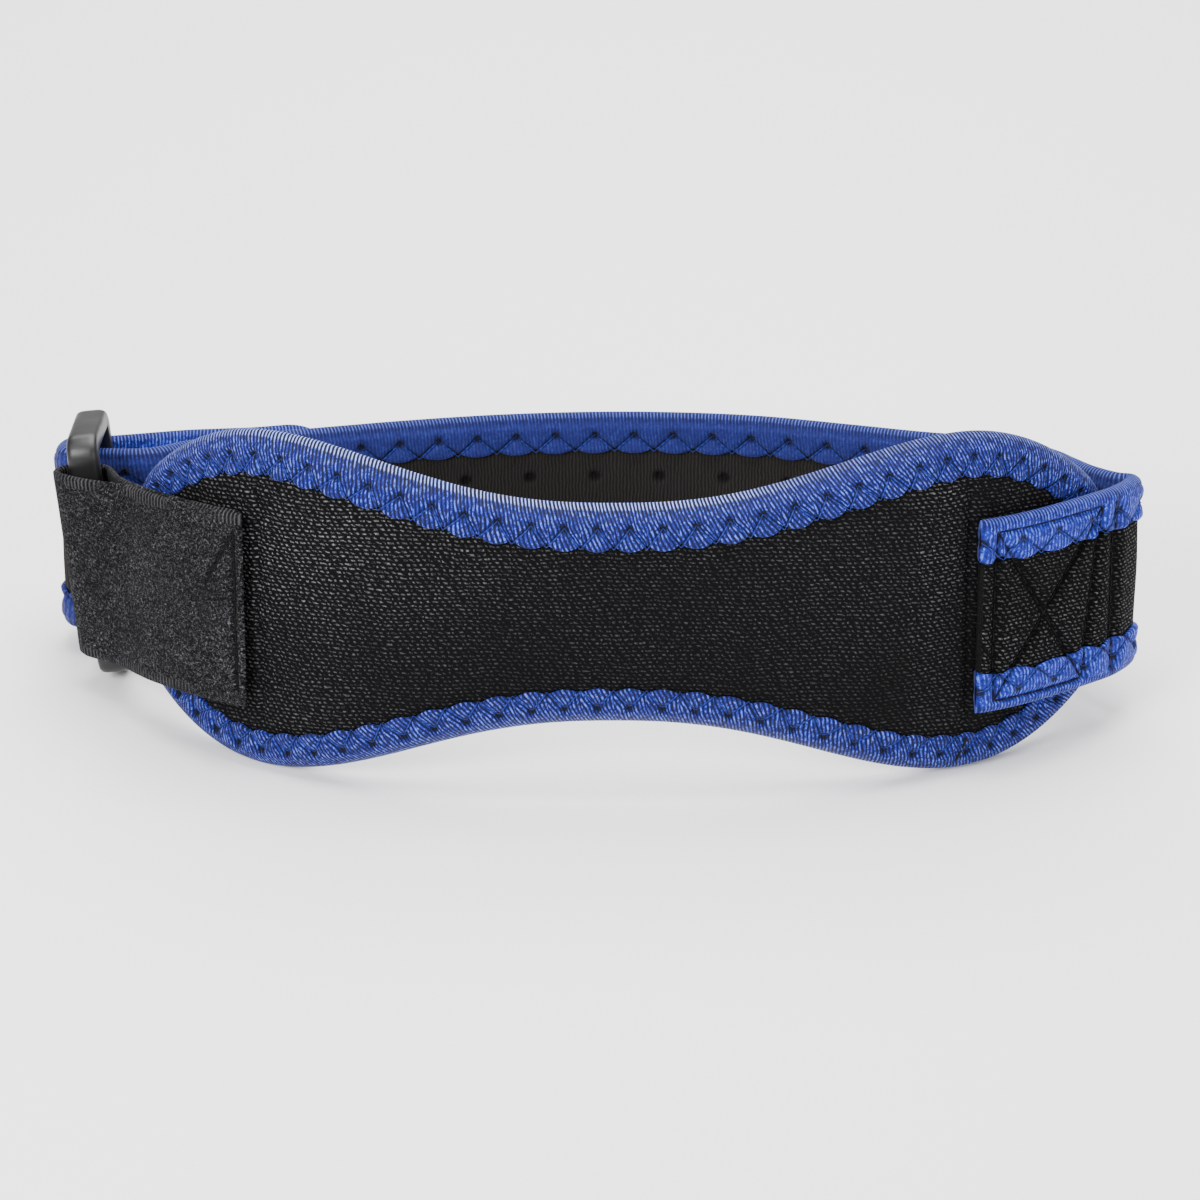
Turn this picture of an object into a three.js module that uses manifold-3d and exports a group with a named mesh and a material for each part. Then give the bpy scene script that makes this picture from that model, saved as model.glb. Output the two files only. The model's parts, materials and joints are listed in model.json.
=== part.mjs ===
// A strap for the patellar tendon. A padded, dog-bone shaped front pad is bound with ribbed tape.
// A flat bound strap is sewn to its right end, runs round the back of the leg, threads a plastic
// ring at the left end and folds back on itself, where a hook patch holds it. A folded tab of loop
// tape, sewn to the pad's left end, carries the ring.
// Millimetres. In the working frame x runs along the pad, y from the pad to the back of the loop and
// z up the leg. The finished group leans back by the angle at which the strap rests on a table.
import * as THREE from "three";
import { mergeVertices } from "three/addons/utils/BufferGeometryUtils.js";
import Module from "manifold-3d";

// Front pad: its outline when laid flat
const padLength = 238;
const lobeHeight = 78.4;
const lobeSpacing = 156; // between the highest points of the two lobes
const waistHeight = 50.4;
const padEndHeight = 37;
const padCornerRun = 10; // how far before its end the pad's corner starts to round off
const waistBreadth = 1.25; // above 1, the waist is broader than a plain cosine

// Front pad: how it bends round the leg
const flatWidth = 36; // the middle, which bears on the tendon, is flat
const middleLength = 90;
const middleRadius = 300;
const leftEndRadius = 92;
const rightEndRadius = 120;

// Front pad: its thickness, measured from the middle of the rolled edge
const rollRadius = 2.4;
const crownRise = 4.5; // how far the padding lifts the front above the rolled edge
const shoulderRun = 5; // distance in from the edge over which most of that rise happens
const backRise = 0.8;
const backShoulder = 12;
const paddingLength = 157; // between the cross seams that close the padding
const paddingFade = 16; // the padding thins over this length before each seam
const seamPuff = 0.65; // share of the rise that is left at the seam
const endPuff = 0.15; // and at the pad's end

// Bindings
const tapeThickness = 1;
const padBindingWidth = 9.1;
const strapBindingWidth = 9.4;
const tapeStep = 0.7; // how far the tape stands above the fabric
const gap = 0.3; // clearance between pieces that lie on each other

// Strap
const strapHeight = 45;
const strapThickness = 3.4;
const strapEdgeThickness = 2; // where the tape grips it
const sewnFromSeam = 0.6; // the strap's sewn end starts this far past the cross seam
const sewnDrop = 1.7; // the sewn end sits a little low on the pad
const cornerReach = 9.3; // how far past the pad's end the strap reaches before it turns back
const loopDepth = 88.7; // from the pad's middle to the strap at the back
const tailLength = 46; // free end, from the ring to its tip
const tailCornerRun = 9;
const tailCornerDrop = 5;
const foldSlack = 0.9; // the fold stands off the ring's side by this much more than it must
const foldReach = 26; // the strap leans with the ring up to about this far from its far bar

// Perforations in the strap's inner face
const pitRadius = 1.2;
const pitDepth = 1.2;
const pitPitch = 15.8;
const pitRowSpacing = 13.8;
const pitSides = 8;

// Plastic ring
const ringHeight = 59;
const ringDepth = 26;
const ringThickness = 7.2;
const barWidth = 4.8; // the two long bars
const endBarWidth = 5;
const ringCornerRadius = 5;
const windowCornerRadius = 2.5;
const ringBevel = 1.2;
const ringLean = 5.3; // degrees, the top towards the left
const ringTip = 4; // degrees, the top towards the front
const ringOut = 10.6; // ring's middle from the pad's left end, to the left
const ringBack = 16.6; // and to the back
const ringRise = 1; // its lower end is held clear of the table

// Tab that carries the ring
const tabHeight = 45;
const tabThickness = 1.6;
const tabDrop = 0.6;
const tabFromSeam = 1.3; // the tab's free end lies this far past the cross seam
const ringPlay = 0.8; // slack between the bars and what passes round them

// Hook patch on the strap's tail
const patchLength = 28;
const patchHeight = 24;
const patchThickness = 1;

const strapHalfThickness = strapEdgeThickness / 2 + gap + tapeThickness;
const padHalf = padLength / 2;
const seamAt = paddingLength / 2;
const spineReach = padHalf - padEndHeight / 2 - 4; // the pad's surfaces meet along this spine
const edgeCount = 84; // stations round the pad's outline

const kernel = await Module();
kernel.setup();

const mix = (a, b, share) => a + (b - a) * share;
const clampShare = (value) => Math.min(1, Math.max(0, value));
const smooth = (value) => {
  const t = clampShare(value);
  return t * t * (3 - 2 * t);
};

// Half of the pad's height at a distance from its middle, before the end corners are rounded.
function outlineHalf(along) {
  const a = Math.abs(along);
  const lobeAt = lobeSpacing / 2;
  if (a < lobeAt) {
    const rise = (1 - Math.cos(Math.PI * (a / lobeAt) ** waistBreadth)) / 2;
    return mix(waistHeight, lobeHeight, rise) / 2;
  }
  return mix(lobeHeight, padEndHeight, ((a - lobeAt) / (padHalf - lobeAt)) ** 2) / 2;
}

// The pad's closed outline laid flat: x along, y up, anticlockwise, evenly spaced.
function padOutline(count) {
  const from = padHalf - padCornerRun;
  const slope = (outlineHalf(from) - outlineHalf(from - 0.1)) / 0.1;
  const corner = outlineHalf(from) + slope * padCornerRun;
  const end = corner - padCornerRun * Math.hypot(1, slope);
  const rightTop = new THREE.Path();
  rightTop.moveTo(padHalf, 0);
  rightTop.lineTo(padHalf, end);
  rightTop.quadraticCurveTo(padHalf, corner, from, outlineHalf(from));
  const steps = 40;
  for (let i = 1; i <= steps; i++) {
    const along = from * (1 - i / steps);
    rightTop.lineTo(along, outlineHalf(along));
  }
  const quarter = rightTop.getPoints(8);
  const flip = (points, x, y) => points.map((p) => new THREE.Vector2(p.x * x, p.y * y));
  const loop = new THREE.Path([
    ...quarter,
    ...flip(quarter, -1, 1).reverse(),
    ...flip(quarter, -1, -1),
    ...flip(quarter, 1, -1).reverse(),
  ]);
  return loop.getSpacedPoints(count).slice(0, count);
}

// Distance from a point of the flat pad to its outline.
const fineOutline = padOutline(360);
function distanceIn(along, up) {
  return Math.min(...fineOutline.map((p) => Math.hypot(p.x - along, p.y - up)));
}

// Where the pad's middle surface runs in plan: a flat middle, a shallow arc, then a tighter arc.
function padPlan(along) {
  const side = along < 0 ? -1 : 1;
  const arcs = [
    { length: flatWidth / 2, radius: Infinity },
    { length: (middleLength - flatWidth) / 2, radius: middleRadius },
    { length: Infinity, radius: side < 0 ? leftEndRadius : rightEndRadius },
  ];
  let left = Math.abs(along);
  let heading = 0;
  const at = new THREE.Vector2();
  for (const arc of arcs) {
    const run = Math.min(left, arc.length);
    const turned = heading + run / arc.radius;
    if (arc.radius === Infinity) {
      at.x += run;
    } else {
      at.x += arc.radius * (Math.sin(turned) - Math.sin(heading));
      at.y += arc.radius * (Math.cos(heading) - Math.cos(turned));
    }
    heading = turned;
    left -= run;
  }
  return {
    at: new THREE.Vector2(side * at.x, at.y),
    front: new THREE.Vector2(side * Math.sin(heading), -Math.cos(heading)),
  };
}

// A point of the bent pad: along it, up it, and out from its middle surface to the front.
function padPoint(along, up, out) {
  const { at, front } = padPlan(along);
  return new THREE.Vector3(at.x + front.x * out, at.y + front.y * out, up);
}

// Share of the padding's rise that is left towards the ends.
function puff(along) {
  const a = Math.abs(along);
  const beforeSeam = smooth((seamAt - a) / paddingFade);
  const pastSeam = clampShare((a - seamAt) / (padHalf - seamAt));
  return a < seamAt ? mix(seamPuff, 1, beforeSeam) : mix(seamPuff, endPuff, pastSeam);
}

const roll = (inward) =>
  inward < rollRadius ? Math.sqrt(rollRadius ** 2 - (rollRadius - inward) ** 2) : rollRadius;

// The finished front and back of the pad, tape included, at a distance in from the edge.
const padFront = (inward, along) =>
  roll(inward) + puff(along) * crownRise * (1 - Math.exp(-inward / shoulderRun));
const padBack = (inward) => roll(inward) + backRise * clampShare(inward / backShoulder);

// A closed solid through rows of sections. Open rows get flat ends, cut up from the flat section.
function loft(rows, closed, flatSection) {
  const around = rows[0].length;
  const positions = rows.flat().flatMap((p) => [p.x, p.y, p.z]);
  const faces = [];
  const spans = closed ? rows.length : rows.length - 1;
  for (let i = 0; i < spans; i++) {
    const near = i * around;
    const far = ((i + 1) % rows.length) * around;
    for (let j = 0; j < around; j++) {
      const k = (j + 1) % around;
      faces.push([near + j, far + j, far + k], [near + j, far + k, near + k]);
    }
  }
  if (!closed) {
    const caps = THREE.ShapeUtils.triangulateShape(flatSection, []);
    const last = (rows.length - 1) * around;
    const turned = THREE.ShapeUtils.isClockWise(flatSection);
    for (const [a, b, c] of caps) {
      const [p, q] = turned ? [c, b] : [b, c];
      faces.push([a, p, q], [last + a, last + q, last + p]);
    }
  }
  const geometry = new THREE.BufferGeometry();
  geometry.setAttribute("position", new THREE.Float32BufferAttribute(positions, 3));
  geometry.setIndex(faces.flat());
  return facingOut(geometry);
}

// Turns every face round if the closed surface has a negative volume.
function facingOut(geometry) {
  const at = geometry.getAttribute("position");
  const index = geometry.getIndex().array;
  const [a, b, c] = [new THREE.Vector3(), new THREE.Vector3(), new THREE.Vector3()];
  let volume = 0;
  for (let i = 0; i < index.length; i += 3) {
    a.fromBufferAttribute(at, index[i]);
    b.fromBufferAttribute(at, index[i + 1]);
    c.fromBufferAttribute(at, index[i + 2]);
    volume += a.dot(b.cross(c));
  }
  if (volume < 0) {
    for (let i = 0; i < index.length; i += 3) [index[i + 1], index[i + 2]] = [index[i + 2], index[i + 1]];
  }
  geometry.computeVertexNormals();
  return geometry;
}

// A closed solid from rows that go round it, each running from one pole line to the other.
function shell(rows) {
  const around = rows[0].length;
  const corners = [];
  rows.forEach((row, i) => {
    const next = rows[(i + 1) % rows.length];
    for (let j = 0; j + 1 < around; j++) {
      corners.push(row[j], next[j], next[j + 1], row[j], next[j + 1], row[j + 1]);
    }
  });
  const geometry = new THREE.BufferGeometry().setFromPoints(corners);
  return facingOut(withoutSlivers(mergeVertices(geometry, 1e-3)));
}

// Drops the faces that have two corners in one place.
function withoutSlivers(geometry) {
  const index = geometry.getIndex().array;
  const kept = [];
  for (let i = 0; i < index.length; i += 3) {
    const [a, b, c] = [index[i], index[i + 1], index[i + 2]];
    if (a !== b && b !== c && c !== a) kept.push(a, b, c);
  }
  geometry.setIndex(kept);
  return geometry;
}

// The pad's edge in section, sunk below the finished surface: inward from the outline, out to the
// front. Shares of the tape's width say where the section's points lie.
const frontShares = [1, 0.5, 0.2, 0.04];
const backShares = [0.06, 0.25, 1];

function edgeSection(along, sunk) {
  const outside = [
    ...frontShares.map((share) => {
      const inward = share * padBindingWidth;
      return new THREE.Vector2(inward, padFront(inward, along));
    }),
    new THREE.Vector2(0, 0),
    ...backShares.map((share) => {
      const inward = share * padBindingWidth;
      return new THREE.Vector2(inward, -padBack(inward));
    }),
  ];
  return outside.map((p, i) => {
    const before = outside[Math.max(0, i - 1)];
    const after = outside[Math.min(outside.length - 1, i + 1)];
    const run = after.clone().sub(before).normalize();
    const tapeEnd = i === 0 || i === outside.length - 1;
    return new THREE.Vector2(p.x - (tapeEnd ? 0 : run.y * sunk), p.y + run.x * sunk);
  });
}

// Stations round the pad's outline, each with the direction in towards the pad's middle.
function edgeStations() {
  const points = padOutline(edgeCount);
  return points.map((at, i) => {
    const before = points.at(i - 1);
    const after = points[(i + 1) % points.length];
    const along = after.clone().sub(before).normalize();
    return { at, inwards: new THREE.Vector2(-along.y, along.x) };
  });
}

const atEdge = ({ at, inwards }, inward, out) =>
  padPoint(at.x + inwards.x * inward, at.y + inwards.y * inward, out);

// The tape folded over the pad's edge: a U-shaped section carried round the outline.
function padBinding() {
  const rows = edgeStations().map((station) => {
    const outside = edgeSection(station.at.x, 0);
    const inside = edgeSection(station.at.x, tapeThickness).filter((p, i) => i !== 3 && i !== 5);
    return [...outside, ...inside.reverse()].map((p) => atEdge(station, p.x, p.y));
  });
  return loft(rows, true);
}

// The padded body: from each station on the outline, a line over the front from the pad's spine to
// the edge and back under it to the spine. Inside the tape it stays below it.
function padBody() {
  const pastTape = padBindingWidth + 2 * gap;
  const rows = edgeStations().map((station) => {
    const { at, inwards } = station;
    const sunk = edgeSection(at.x, tapeThickness + gap);
    const bare = new THREE.Vector2(at.x + inwards.x * pastTape, at.y + inwards.y * pastTape);
    const spine = new THREE.Vector2(THREE.MathUtils.clamp(bare.x, -spineReach, spineReach), 0);
    const frontAt = (share) => {
      const p = spine.clone().lerp(bare, share);
      return padPoint(p.x, p.y, padFront(distanceIn(p.x, p.y), p.x) - tapeStep);
    };
    const backAt = (share) => {
      const p = spine.clone().lerp(bare, share);
      return padPoint(p.x, p.y, -(padBack(distanceIn(p.x, p.y)) - tapeStep));
    };
    return [
      ...[0, 0.45, 0.85, 1].map(frontAt),
      ...[0, 1, 2, 6, 7].map((i) => atEdge(station, sunk[i].x, sunk[i].y)),
      ...[1, 0.5, 0].map(backAt),
    ];
  });
  return shell(rows);
}

// Stations along a plan curve, closer together where it bends.
function stationsAlong(curve, longestStep, sharpestTurn) {
  const fine = 1200;
  const length = curve.getLength();
  const point = (i) => curve.getPointAt(i / fine);
  const direction = (i) => curve.getTangentAt(i / fine);
  const picked = [0];
  let turned = 0;
  for (let i = 1; i < fine; i++) {
    turned += direction(i).angleTo(direction(i - 1));
    const walked = ((i - picked.at(-1)) * length) / fine;
    if (walked >= longestStep || turned >= sharpestTurn) {
      picked.push(i);
      turned = 0;
    }
  }
  picked.push(fine);
  return picked.map((i) => {
    const tangent = direction(i);
    return {
      run: (i * length) / fine,
      at: point(i),
      out: new THREE.Vector3(tangent.y, -tangent.x, 0).normalize(),
    };
  });
}

// Plan curve through points given as [x, y].
const planCurve = (points) =>
  new THREE.CatmullRomCurve3(
    points.map(([x, y]) => new THREE.Vector3(x, y, 0)),
    false,
    "centripetal",
  );

// Where the ring's bars stand in plan.
const padLeftEnd = padPlan(-padHalf).at;
const ringMiddle = new THREE.Vector2(padLeftEnd.x - ringOut, padLeftEnd.y + ringBack);
const nearBar = new THREE.Vector2(ringMiddle.x, ringMiddle.y - (ringDepth - barWidth) / 2);
const farBar = new THREE.Vector2(ringMiddle.x, ringMiddle.y + (ringDepth - barWidth) / 2);
const leanSlope = Math.tan(THREE.MathUtils.degToRad(ringLean));
const tipSlope = Math.tan(THREE.MathUtils.degToRad(ringTip));

// The strap's middle line up to the ring: sewn stretch, corner, then the bow round the back.
// across is a share of the way from the middle to the corner (right) or the ring (left), and back a
// share of the loop's depth.
const strapBow = [
  { across: 0.975, back: 0.39 },
  { across: 0.932, back: 0.452 },
  { across: 0.897, back: 0.536 },
  { across: 0.868, back: 0.612 },
  { across: 0.815, back: 0.688 },
  { across: 0.73, back: 0.745 },
  { across: 0.62, back: 0.792 },
  { across: 0.48, back: 0.866 },
  { across: 0.3, back: 0.955 },
  { across: 0.15, back: 0.991 },
  { across: -0.01, back: 1 },
  { across: -0.22, back: 0.971 },
  { across: -0.42, back: 0.905 },
  { across: -0.58, back: 0.835 },
  { across: -0.72, back: 0.774 },
  { across: -0.83, back: 0.722 },
];

function strapPath() {
  const seatAbovePad = gap + strapHalfThickness;
  const sewn = [0, 0.25, 0.5, 0.75, 1].map((share) => {
    const along = mix(seamAt + sewnFromSeam, padHalf - rollRadius, share);
    const seat = padPoint(along, 0, padFront(padHalf - along, along) + seatAbovePad);
    return [seat.x, seat.y];
  });
  const rightEnd = padPlan(padHalf);
  const onward = new THREE.Vector2(-rightEnd.front.y, rightEnd.front.x);
  const tip = rightEnd.at.clone().addScaledVector(onward, cornerReach - strapHalfThickness);
  tip.addScaledVector(rightEnd.front, 1);
  const bow = strapBow.map(({ across, back }) => [
    across > 0 ? across * tip.x : -across * ringMiddle.x,
    back * loopDepth,
  ]);
  const clear = barWidth / 2 + ringPlay + strapHalfThickness;
  const swing = (leanSlope * strapHeight) / 2; // how far the leaning bar strays along the strap's edges
  const side = ringThickness / 2 + swing + gap + strapHalfThickness + foldSlack;
  const inWindow = [
    [farBar.x + side * 1.15, farBar.y - clear * 0.98],
    [farBar.x, farBar.y - clear],
  ];
  const main = [...sewn, [tip.x, tip.y], ...bow, ...inWindow];
  const fold = [
    [farBar.x - side * 0.84, farBar.y - clear * 0.8],
    [farBar.x - side, farBar.y],
    [farBar.x - side * 0.84, farBar.y + clear * 0.8],
    [farBar.x, farBar.y + clear],
  ];
  const mainCurve = planCurve(main);
  const length = mainCurve.getLength();
  const fastened = strapThickness + patchThickness + 2 * gap;
  const tail = [0.32, 0.48, 0.64, 0.8, 0.9, 1].map((share) => {
    const u = 1 - (share * tailLength + side) / length;
    const at = mainCurve.getPointAt(u);
    const run = mainCurve.getTangentAt(u);
    const away = mix(2 * clear, fastened, smooth((share - 0.1) / 0.6));
    return [at.x + run.y * away, at.y - run.x * away];
  });
  return planCurve([...main, ...fold, ...tail]);
}

// A ribbon's point: across its height and out from its middle line, at one station. The ribbon may
// lean to the left and tip to the front as the ring does.
function ribbonPoint(station, up, out, lean = 0, tip = 0) {
  const { at, out: normal } = station;
  return new THREE.Vector3(at.x + normal.x * out - lean * up, at.y + normal.y * out - tip * up, up);
}

// Half of the strap's height, with the corners at the tip of its tail taken off.
function strapHalfAt(run, length) {
  const towardsTip = clampShare((run - length + tailCornerRun) / tailCornerRun);
  return strapHeight / 2 - tailCornerDrop * (1 - Math.sqrt(1 - towardsTip ** 2 * 0.96));
}

// The sewn end's drop fades out by the time the strap reaches its corner.
const dropAt = (run) => -sewnDrop * (1 - smooth(run / (padHalf - seamAt)));

// How much of the ring's tip the strap has, near the bar that it folds round.
const foldTip = ({ at }) =>
  tipSlope * smooth(1.5 - Math.hypot(at.x - farBar.x, at.y - farBar.y) / foldReach);

function carriedRibbon(stations, sectionAt) {
  const length = stations.at(-1).run;
  const rows = stations.map((station) => {
    const half = strapHalfAt(station.run, length);
    const drop = dropAt(station.run);
    return sectionAt(half).map((p) => ribbonPoint(station, p.x + drop, p.y, 0, foldTip(station)));
  });
  return loft(rows, false, sectionAt(strapHeight / 2));
}

const point2 = (x, y) => new THREE.Vector2(x, y);

// The strap's fabric: thick between the tapes, pressed thin inside them.
function strapBodySection(half) {
  const edge = half - strapHalfThickness;
  const thinFrom = half - strapBindingWidth - gap / 2;
  const thickTo = thinFrom - gap;
  const thin = strapEdgeThickness / 2;
  const thick = strapThickness / 2;
  const front = [
    point2(-edge, thin),
    point2(-thinFrom, thin),
    point2(-thickTo, thick),
    point2(thickTo, thick),
    point2(thinFrom, thin),
    point2(edge, thin),
  ];
  return [...front, ...front.map((p) => point2(p.x, -p.y)).reverse()];
}

// The tape folded over the strap's upper (1) or lower (-1) edge.
function strapTapeSection(half, side) {
  const outer = strapHalfThickness;
  const inner = outer - tapeThickness;
  const centre = half - outer;
  const diagonal = Math.SQRT1_2;
  const outside = [
    point2(half - strapBindingWidth, outer),
    point2(centre, outer),
    point2(centre + outer * diagonal, outer * diagonal),
    point2(half, 0),
    point2(centre + outer * diagonal, -outer * diagonal),
    point2(centre, -outer),
    point2(half - strapBindingWidth, -outer),
  ];
  const inside = [
    point2(half - strapBindingWidth, -inner),
    point2(centre, -inner),
    point2(centre + inner, 0),
    point2(centre, inner),
    point2(half - strapBindingWidth, inner),
  ];
  return [...outside, ...inside].map((p) => point2(side * p.x, p.y));
}

// A manifold solid from a closed geometry, and back.
function solidOf(geometry) {
  const bare = new THREE.BufferGeometry();
  bare.setAttribute("position", geometry.getAttribute("position"));
  bare.setIndex(geometry.getIndex());
  const merged = mergeVertices(bare, 1e-4);
  return new kernel.Manifold(
    new kernel.Mesh({
      numProp: 3,
      vertProperties: merged.getAttribute("position").array,
      triVerts: new Uint32Array(merged.getIndex().array),
    }),
  );
}

function geometryOf(solid) {
  const mesh = solid.getMesh();
  const geometry = new THREE.BufferGeometry();
  geometry.setAttribute("position", new THREE.Float32BufferAttribute(mesh.vertProperties, 3));
  geometry.setIndex(Array.from(mesh.triVerts));
  geometry.computeVertexNormals();
  return geometry;
}

// Two rows of blind holes in the inner face, from the corner to just before the ring.
function perforate(body, curve, sewnLength) {
  const length = curve.getLength();
  const from = sewnLength + cornerReach + pitPitch * 2;
  const to = length - tailLength - ringDepth * 1.6;
  const count = Math.floor((to - from) / pitPitch);
  const pits = [];
  for (let i = 0; i <= count; i++) {
    for (const row of [-1, 1]) {
      const run = from + i * pitPitch;
      const at = curve.getPointAt(run / length);
      const tangent = curve.getTangentAt(run / length);
      const inwards = new THREE.Vector3(-tangent.y, tangent.x, 0).normalize();
      const cutter = new THREE.CylinderGeometry(pitRadius, pitRadius, pitDepth * 2, pitSides);
      cutter.deleteAttribute("normal");
      cutter.deleteAttribute("uv");
      cutter.applyQuaternion(
        new THREE.Quaternion().setFromUnitVectors(new THREE.Vector3(0, 1, 0), inwards),
      );
      const seat = at.clone().addScaledVector(inwards, strapThickness / 2);
      cutter.translate(seat.x, seat.y, (row * pitRowSpacing) / 2);
      pits.push(solidOf(mergeVertices(cutter, 1e-4)));
    }
  }
  return geometryOf(solidOf(body).subtract(kernel.Manifold.union(pits)));
}

// The ring: a rounded frame, long bars upright, its thickness along x.
function ring() {
  const frame = roundedRectangle(new THREE.Shape(), ringDepth, ringHeight, ringCornerRadius);
  const window = roundedRectangle(
    new THREE.Path(),
    ringDepth - 2 * barWidth,
    ringHeight - 2 * endBarWidth,
    windowCornerRadius,
  );
  frame.holes.push(window);
  const geometry = new THREE.ExtrudeGeometry(frame, {
    depth: ringThickness - 2 * ringBevel,
    bevelThickness: ringBevel,
    bevelSize: ringBevel,
    bevelOffset: -ringBevel,
    bevelSegments: 2,
    curveSegments: 4,
  });
  geometry.translate(0, 0, -(ringThickness / 2 - ringBevel));
  geometry.rotateX(Math.PI / 2);
  geometry.rotateZ(Math.PI / 2);
  return geometry;
}

function roundedRectangle(path, width, height, radius) {
  const [x, y] = [width / 2, height / 2];
  path.moveTo(-x + radius, -y);
  path.lineTo(x - radius, -y);
  path.absarc(x - radius, -y + radius, radius, -Math.PI / 2, 0);
  path.lineTo(x, y - radius);
  path.absarc(x - radius, y - radius, radius, 0, Math.PI / 2);
  path.lineTo(-x + radius, y);
  path.absarc(-x + radius, y - radius, radius, Math.PI / 2, Math.PI);
  path.lineTo(-x, -y + radius);
  path.absarc(-x + radius, -y + radius, radius, Math.PI, Math.PI * 1.5);
  return path;
}

// The tab: two layers on the pad's left end, joined by a fold round the ring's near bar.
function tab() {
  const half = tabThickness / 2;
  const layer = (level) => (share) => {
    const along = -mix(seamAt + tabFromSeam, padHalf - rollRadius, share);
    const lift = 2.6 * gap + half + level * (tabThickness + gap);
    const seat = padPoint(along, 0, padFront(padHalf + along, along) + lift);
    return [seat.x, seat.y];
  };
  const clearY = barWidth / 2 + ringPlay + half;
  const clearX = ringThickness / 2 + ringPlay + half;
  const round = [
    { x: -0.35, y: -1.55 },
    { x: -1.05, y: -0.75 },
    { x: -1.25, y: 0.1 },
    { x: -0.85, y: 0.9 },
    { x: 0, y: 1.1 },
    { x: 0.85, y: 0.9 },
    { x: 1.2, y: 0 },
  ].map(({ x, y }) => [nearBar.x + x * clearX, nearBar.y + y * clearY]);
  const outer = [0, 0.25, 0.5, 0.75, 0.92].map(layer(1));
  const inner = [0.92, 0.75, 0.5, 0.25, 0.06].map(layer(0));
  const curve = planCurve([...outer, ...round, ...inner]);
  const stations = stationsAlong(curve, 7, 0.3);
  const reach = padLeftEnd.distanceTo(nearBar);
  const section = [
    point2(-tabHeight / 2, half),
    point2(tabHeight / 2, half),
    point2(tabHeight / 2, -half),
    point2(-tabHeight / 2, -half),
  ];
  const rows = stations.map((station) => {
    const away = Math.hypot(station.at.x - nearBar.x, station.at.y - nearBar.y);
    const share = smooth(1.6 - away / reach);
    const [lean, tip] = [leanSlope * share, tipSlope * share];
    return section.map((p) => ribbonPoint(station, p.x - tabDrop, p.y, lean, tip));
  });
  return loft(rows, false, section);
}

// The hook patch: lies between the strap and its folded tail.
function hookPatch(curve) {
  const length = curve.getLength();
  const away = strapThickness / 2 + gap + patchThickness / 2;
  const steps = 8;
  const section = [
    point2(-patchHeight / 2, patchThickness / 2),
    point2(patchHeight / 2, patchThickness / 2),
    point2(patchHeight / 2, -patchThickness / 2),
    point2(-patchHeight / 2, -patchThickness / 2),
  ];
  const rows = [];
  for (let i = 0; i <= steps; i++) {
    const u = 1 - (tailCornerRun + (patchLength * i) / steps) / length;
    const tangent = curve.getTangentAt(u);
    const station = {
      at: curve.getPointAt(u),
      out: new THREE.Vector3(tangent.y, -tangent.x, 0).normalize(),
    };
    rows.push(section.map((p) => ribbonPoint(station, p.x, p.y + away, 0, foldTip(station))));
  }
  return loft(rows, false, section);
}

const fabric = (color, roughness) => new THREE.MeshStandardMaterial({ color, roughness, metalness: 0 });
const blackKnit = fabric(0x17181a, 0.85);
const blackLoopPile = fabric(0x1f2022, 0.95);
const blueTape = fabric(0x2a4fb5, 0.7);
const blackPlastic = fabric(0x3a3b3d, 0.45);
const blackHook = fabric(0x141415, 0.8);

function piece(name, geometry, material) {
  const mesh = new THREE.Mesh(geometry, material);
  mesh.name = name;
  return mesh;
}

const curve = strapPath();
const strapStations = stationsAlong(curve, 7, 0.26);
const sewnLength = padHalf - seamAt;
const strapBody = perforate(
  carriedRibbon(strapStations, (half) => strapBodySection(half)),
  curve,
  sewnLength,
);

const strap = new THREE.Group();
strap.add(
  piece("pad_body", padBody(), blackKnit),
  piece("pad_binding", padBinding(), blueTape),
  piece("strap_body", strapBody, blackKnit),
  piece(
    "strap_binding_upper",
    carriedRibbon(strapStations, (half) => strapTapeSection(half, 1)),
    blueTape,
  ),
  piece(
    "strap_binding_lower",
    carriedRibbon(strapStations, (half) => strapTapeSection(half, -1)),
    blueTape,
  ),
  piece("ring_tab", tab(), blackLoopPile),
  piece("hook_patch", hookPatch(curve), blackHook),
);

const ringMesh = piece("ring", ring(), blackPlastic);
ringMesh.position.set(ringMiddle.x, ringMiddle.y, ringRise);
ringMesh.rotation.set(THREE.MathUtils.degToRad(ringTip), -THREE.MathUtils.degToRad(ringLean), 0);
strap.add(ringMesh);

// Lowest height of a group of pieces when the whole leans back by an angle.
function lowest(names, angle) {
  const at = new THREE.Vector3();
  let low = Infinity;
  for (const name of names) {
    const mesh = strap.getObjectByName(name);
    mesh.updateMatrixWorld(true);
    const positions = mesh.geometry.getAttribute("position");
    for (let i = 0; i < positions.count; i++) {
      at.fromBufferAttribute(positions, i).applyMatrix4(mesh.matrixWorld);
      low = Math.min(low, at.z * Math.cos(angle) - at.y * Math.sin(angle));
    }
  }
  return low;
}

// The strap leans back until its lower edge meets the table that the pad's two lobes stand on.
function restAngle() {
  let [upright, tooFar] = [0, Math.PI / 4];
  for (let i = 0; i < 40; i++) {
    const angle = (upright + tooFar) / 2;
    const strapLower = lowest(["strap_binding_lower"], angle);
    if (strapLower > lowest(["pad_binding"], angle)) upright = angle;
    else tooFar = angle;
  }
  return upright;
}

const leaning = new THREE.Group();
leaning.add(strap);
strap.rotation.x = -restAngle();

// The origin is under the middle of the whole, on the table.
const whole = new THREE.Group();
whole.add(leaning);
const box = new THREE.Box3().setFromObject(whole, true);
leaning.position.set(-(box.min.x + box.max.x) / 2, -(box.min.y + box.max.y) / 2, -box.min.z);
whole.updateMatrixWorld(true);

export default whole;
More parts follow.
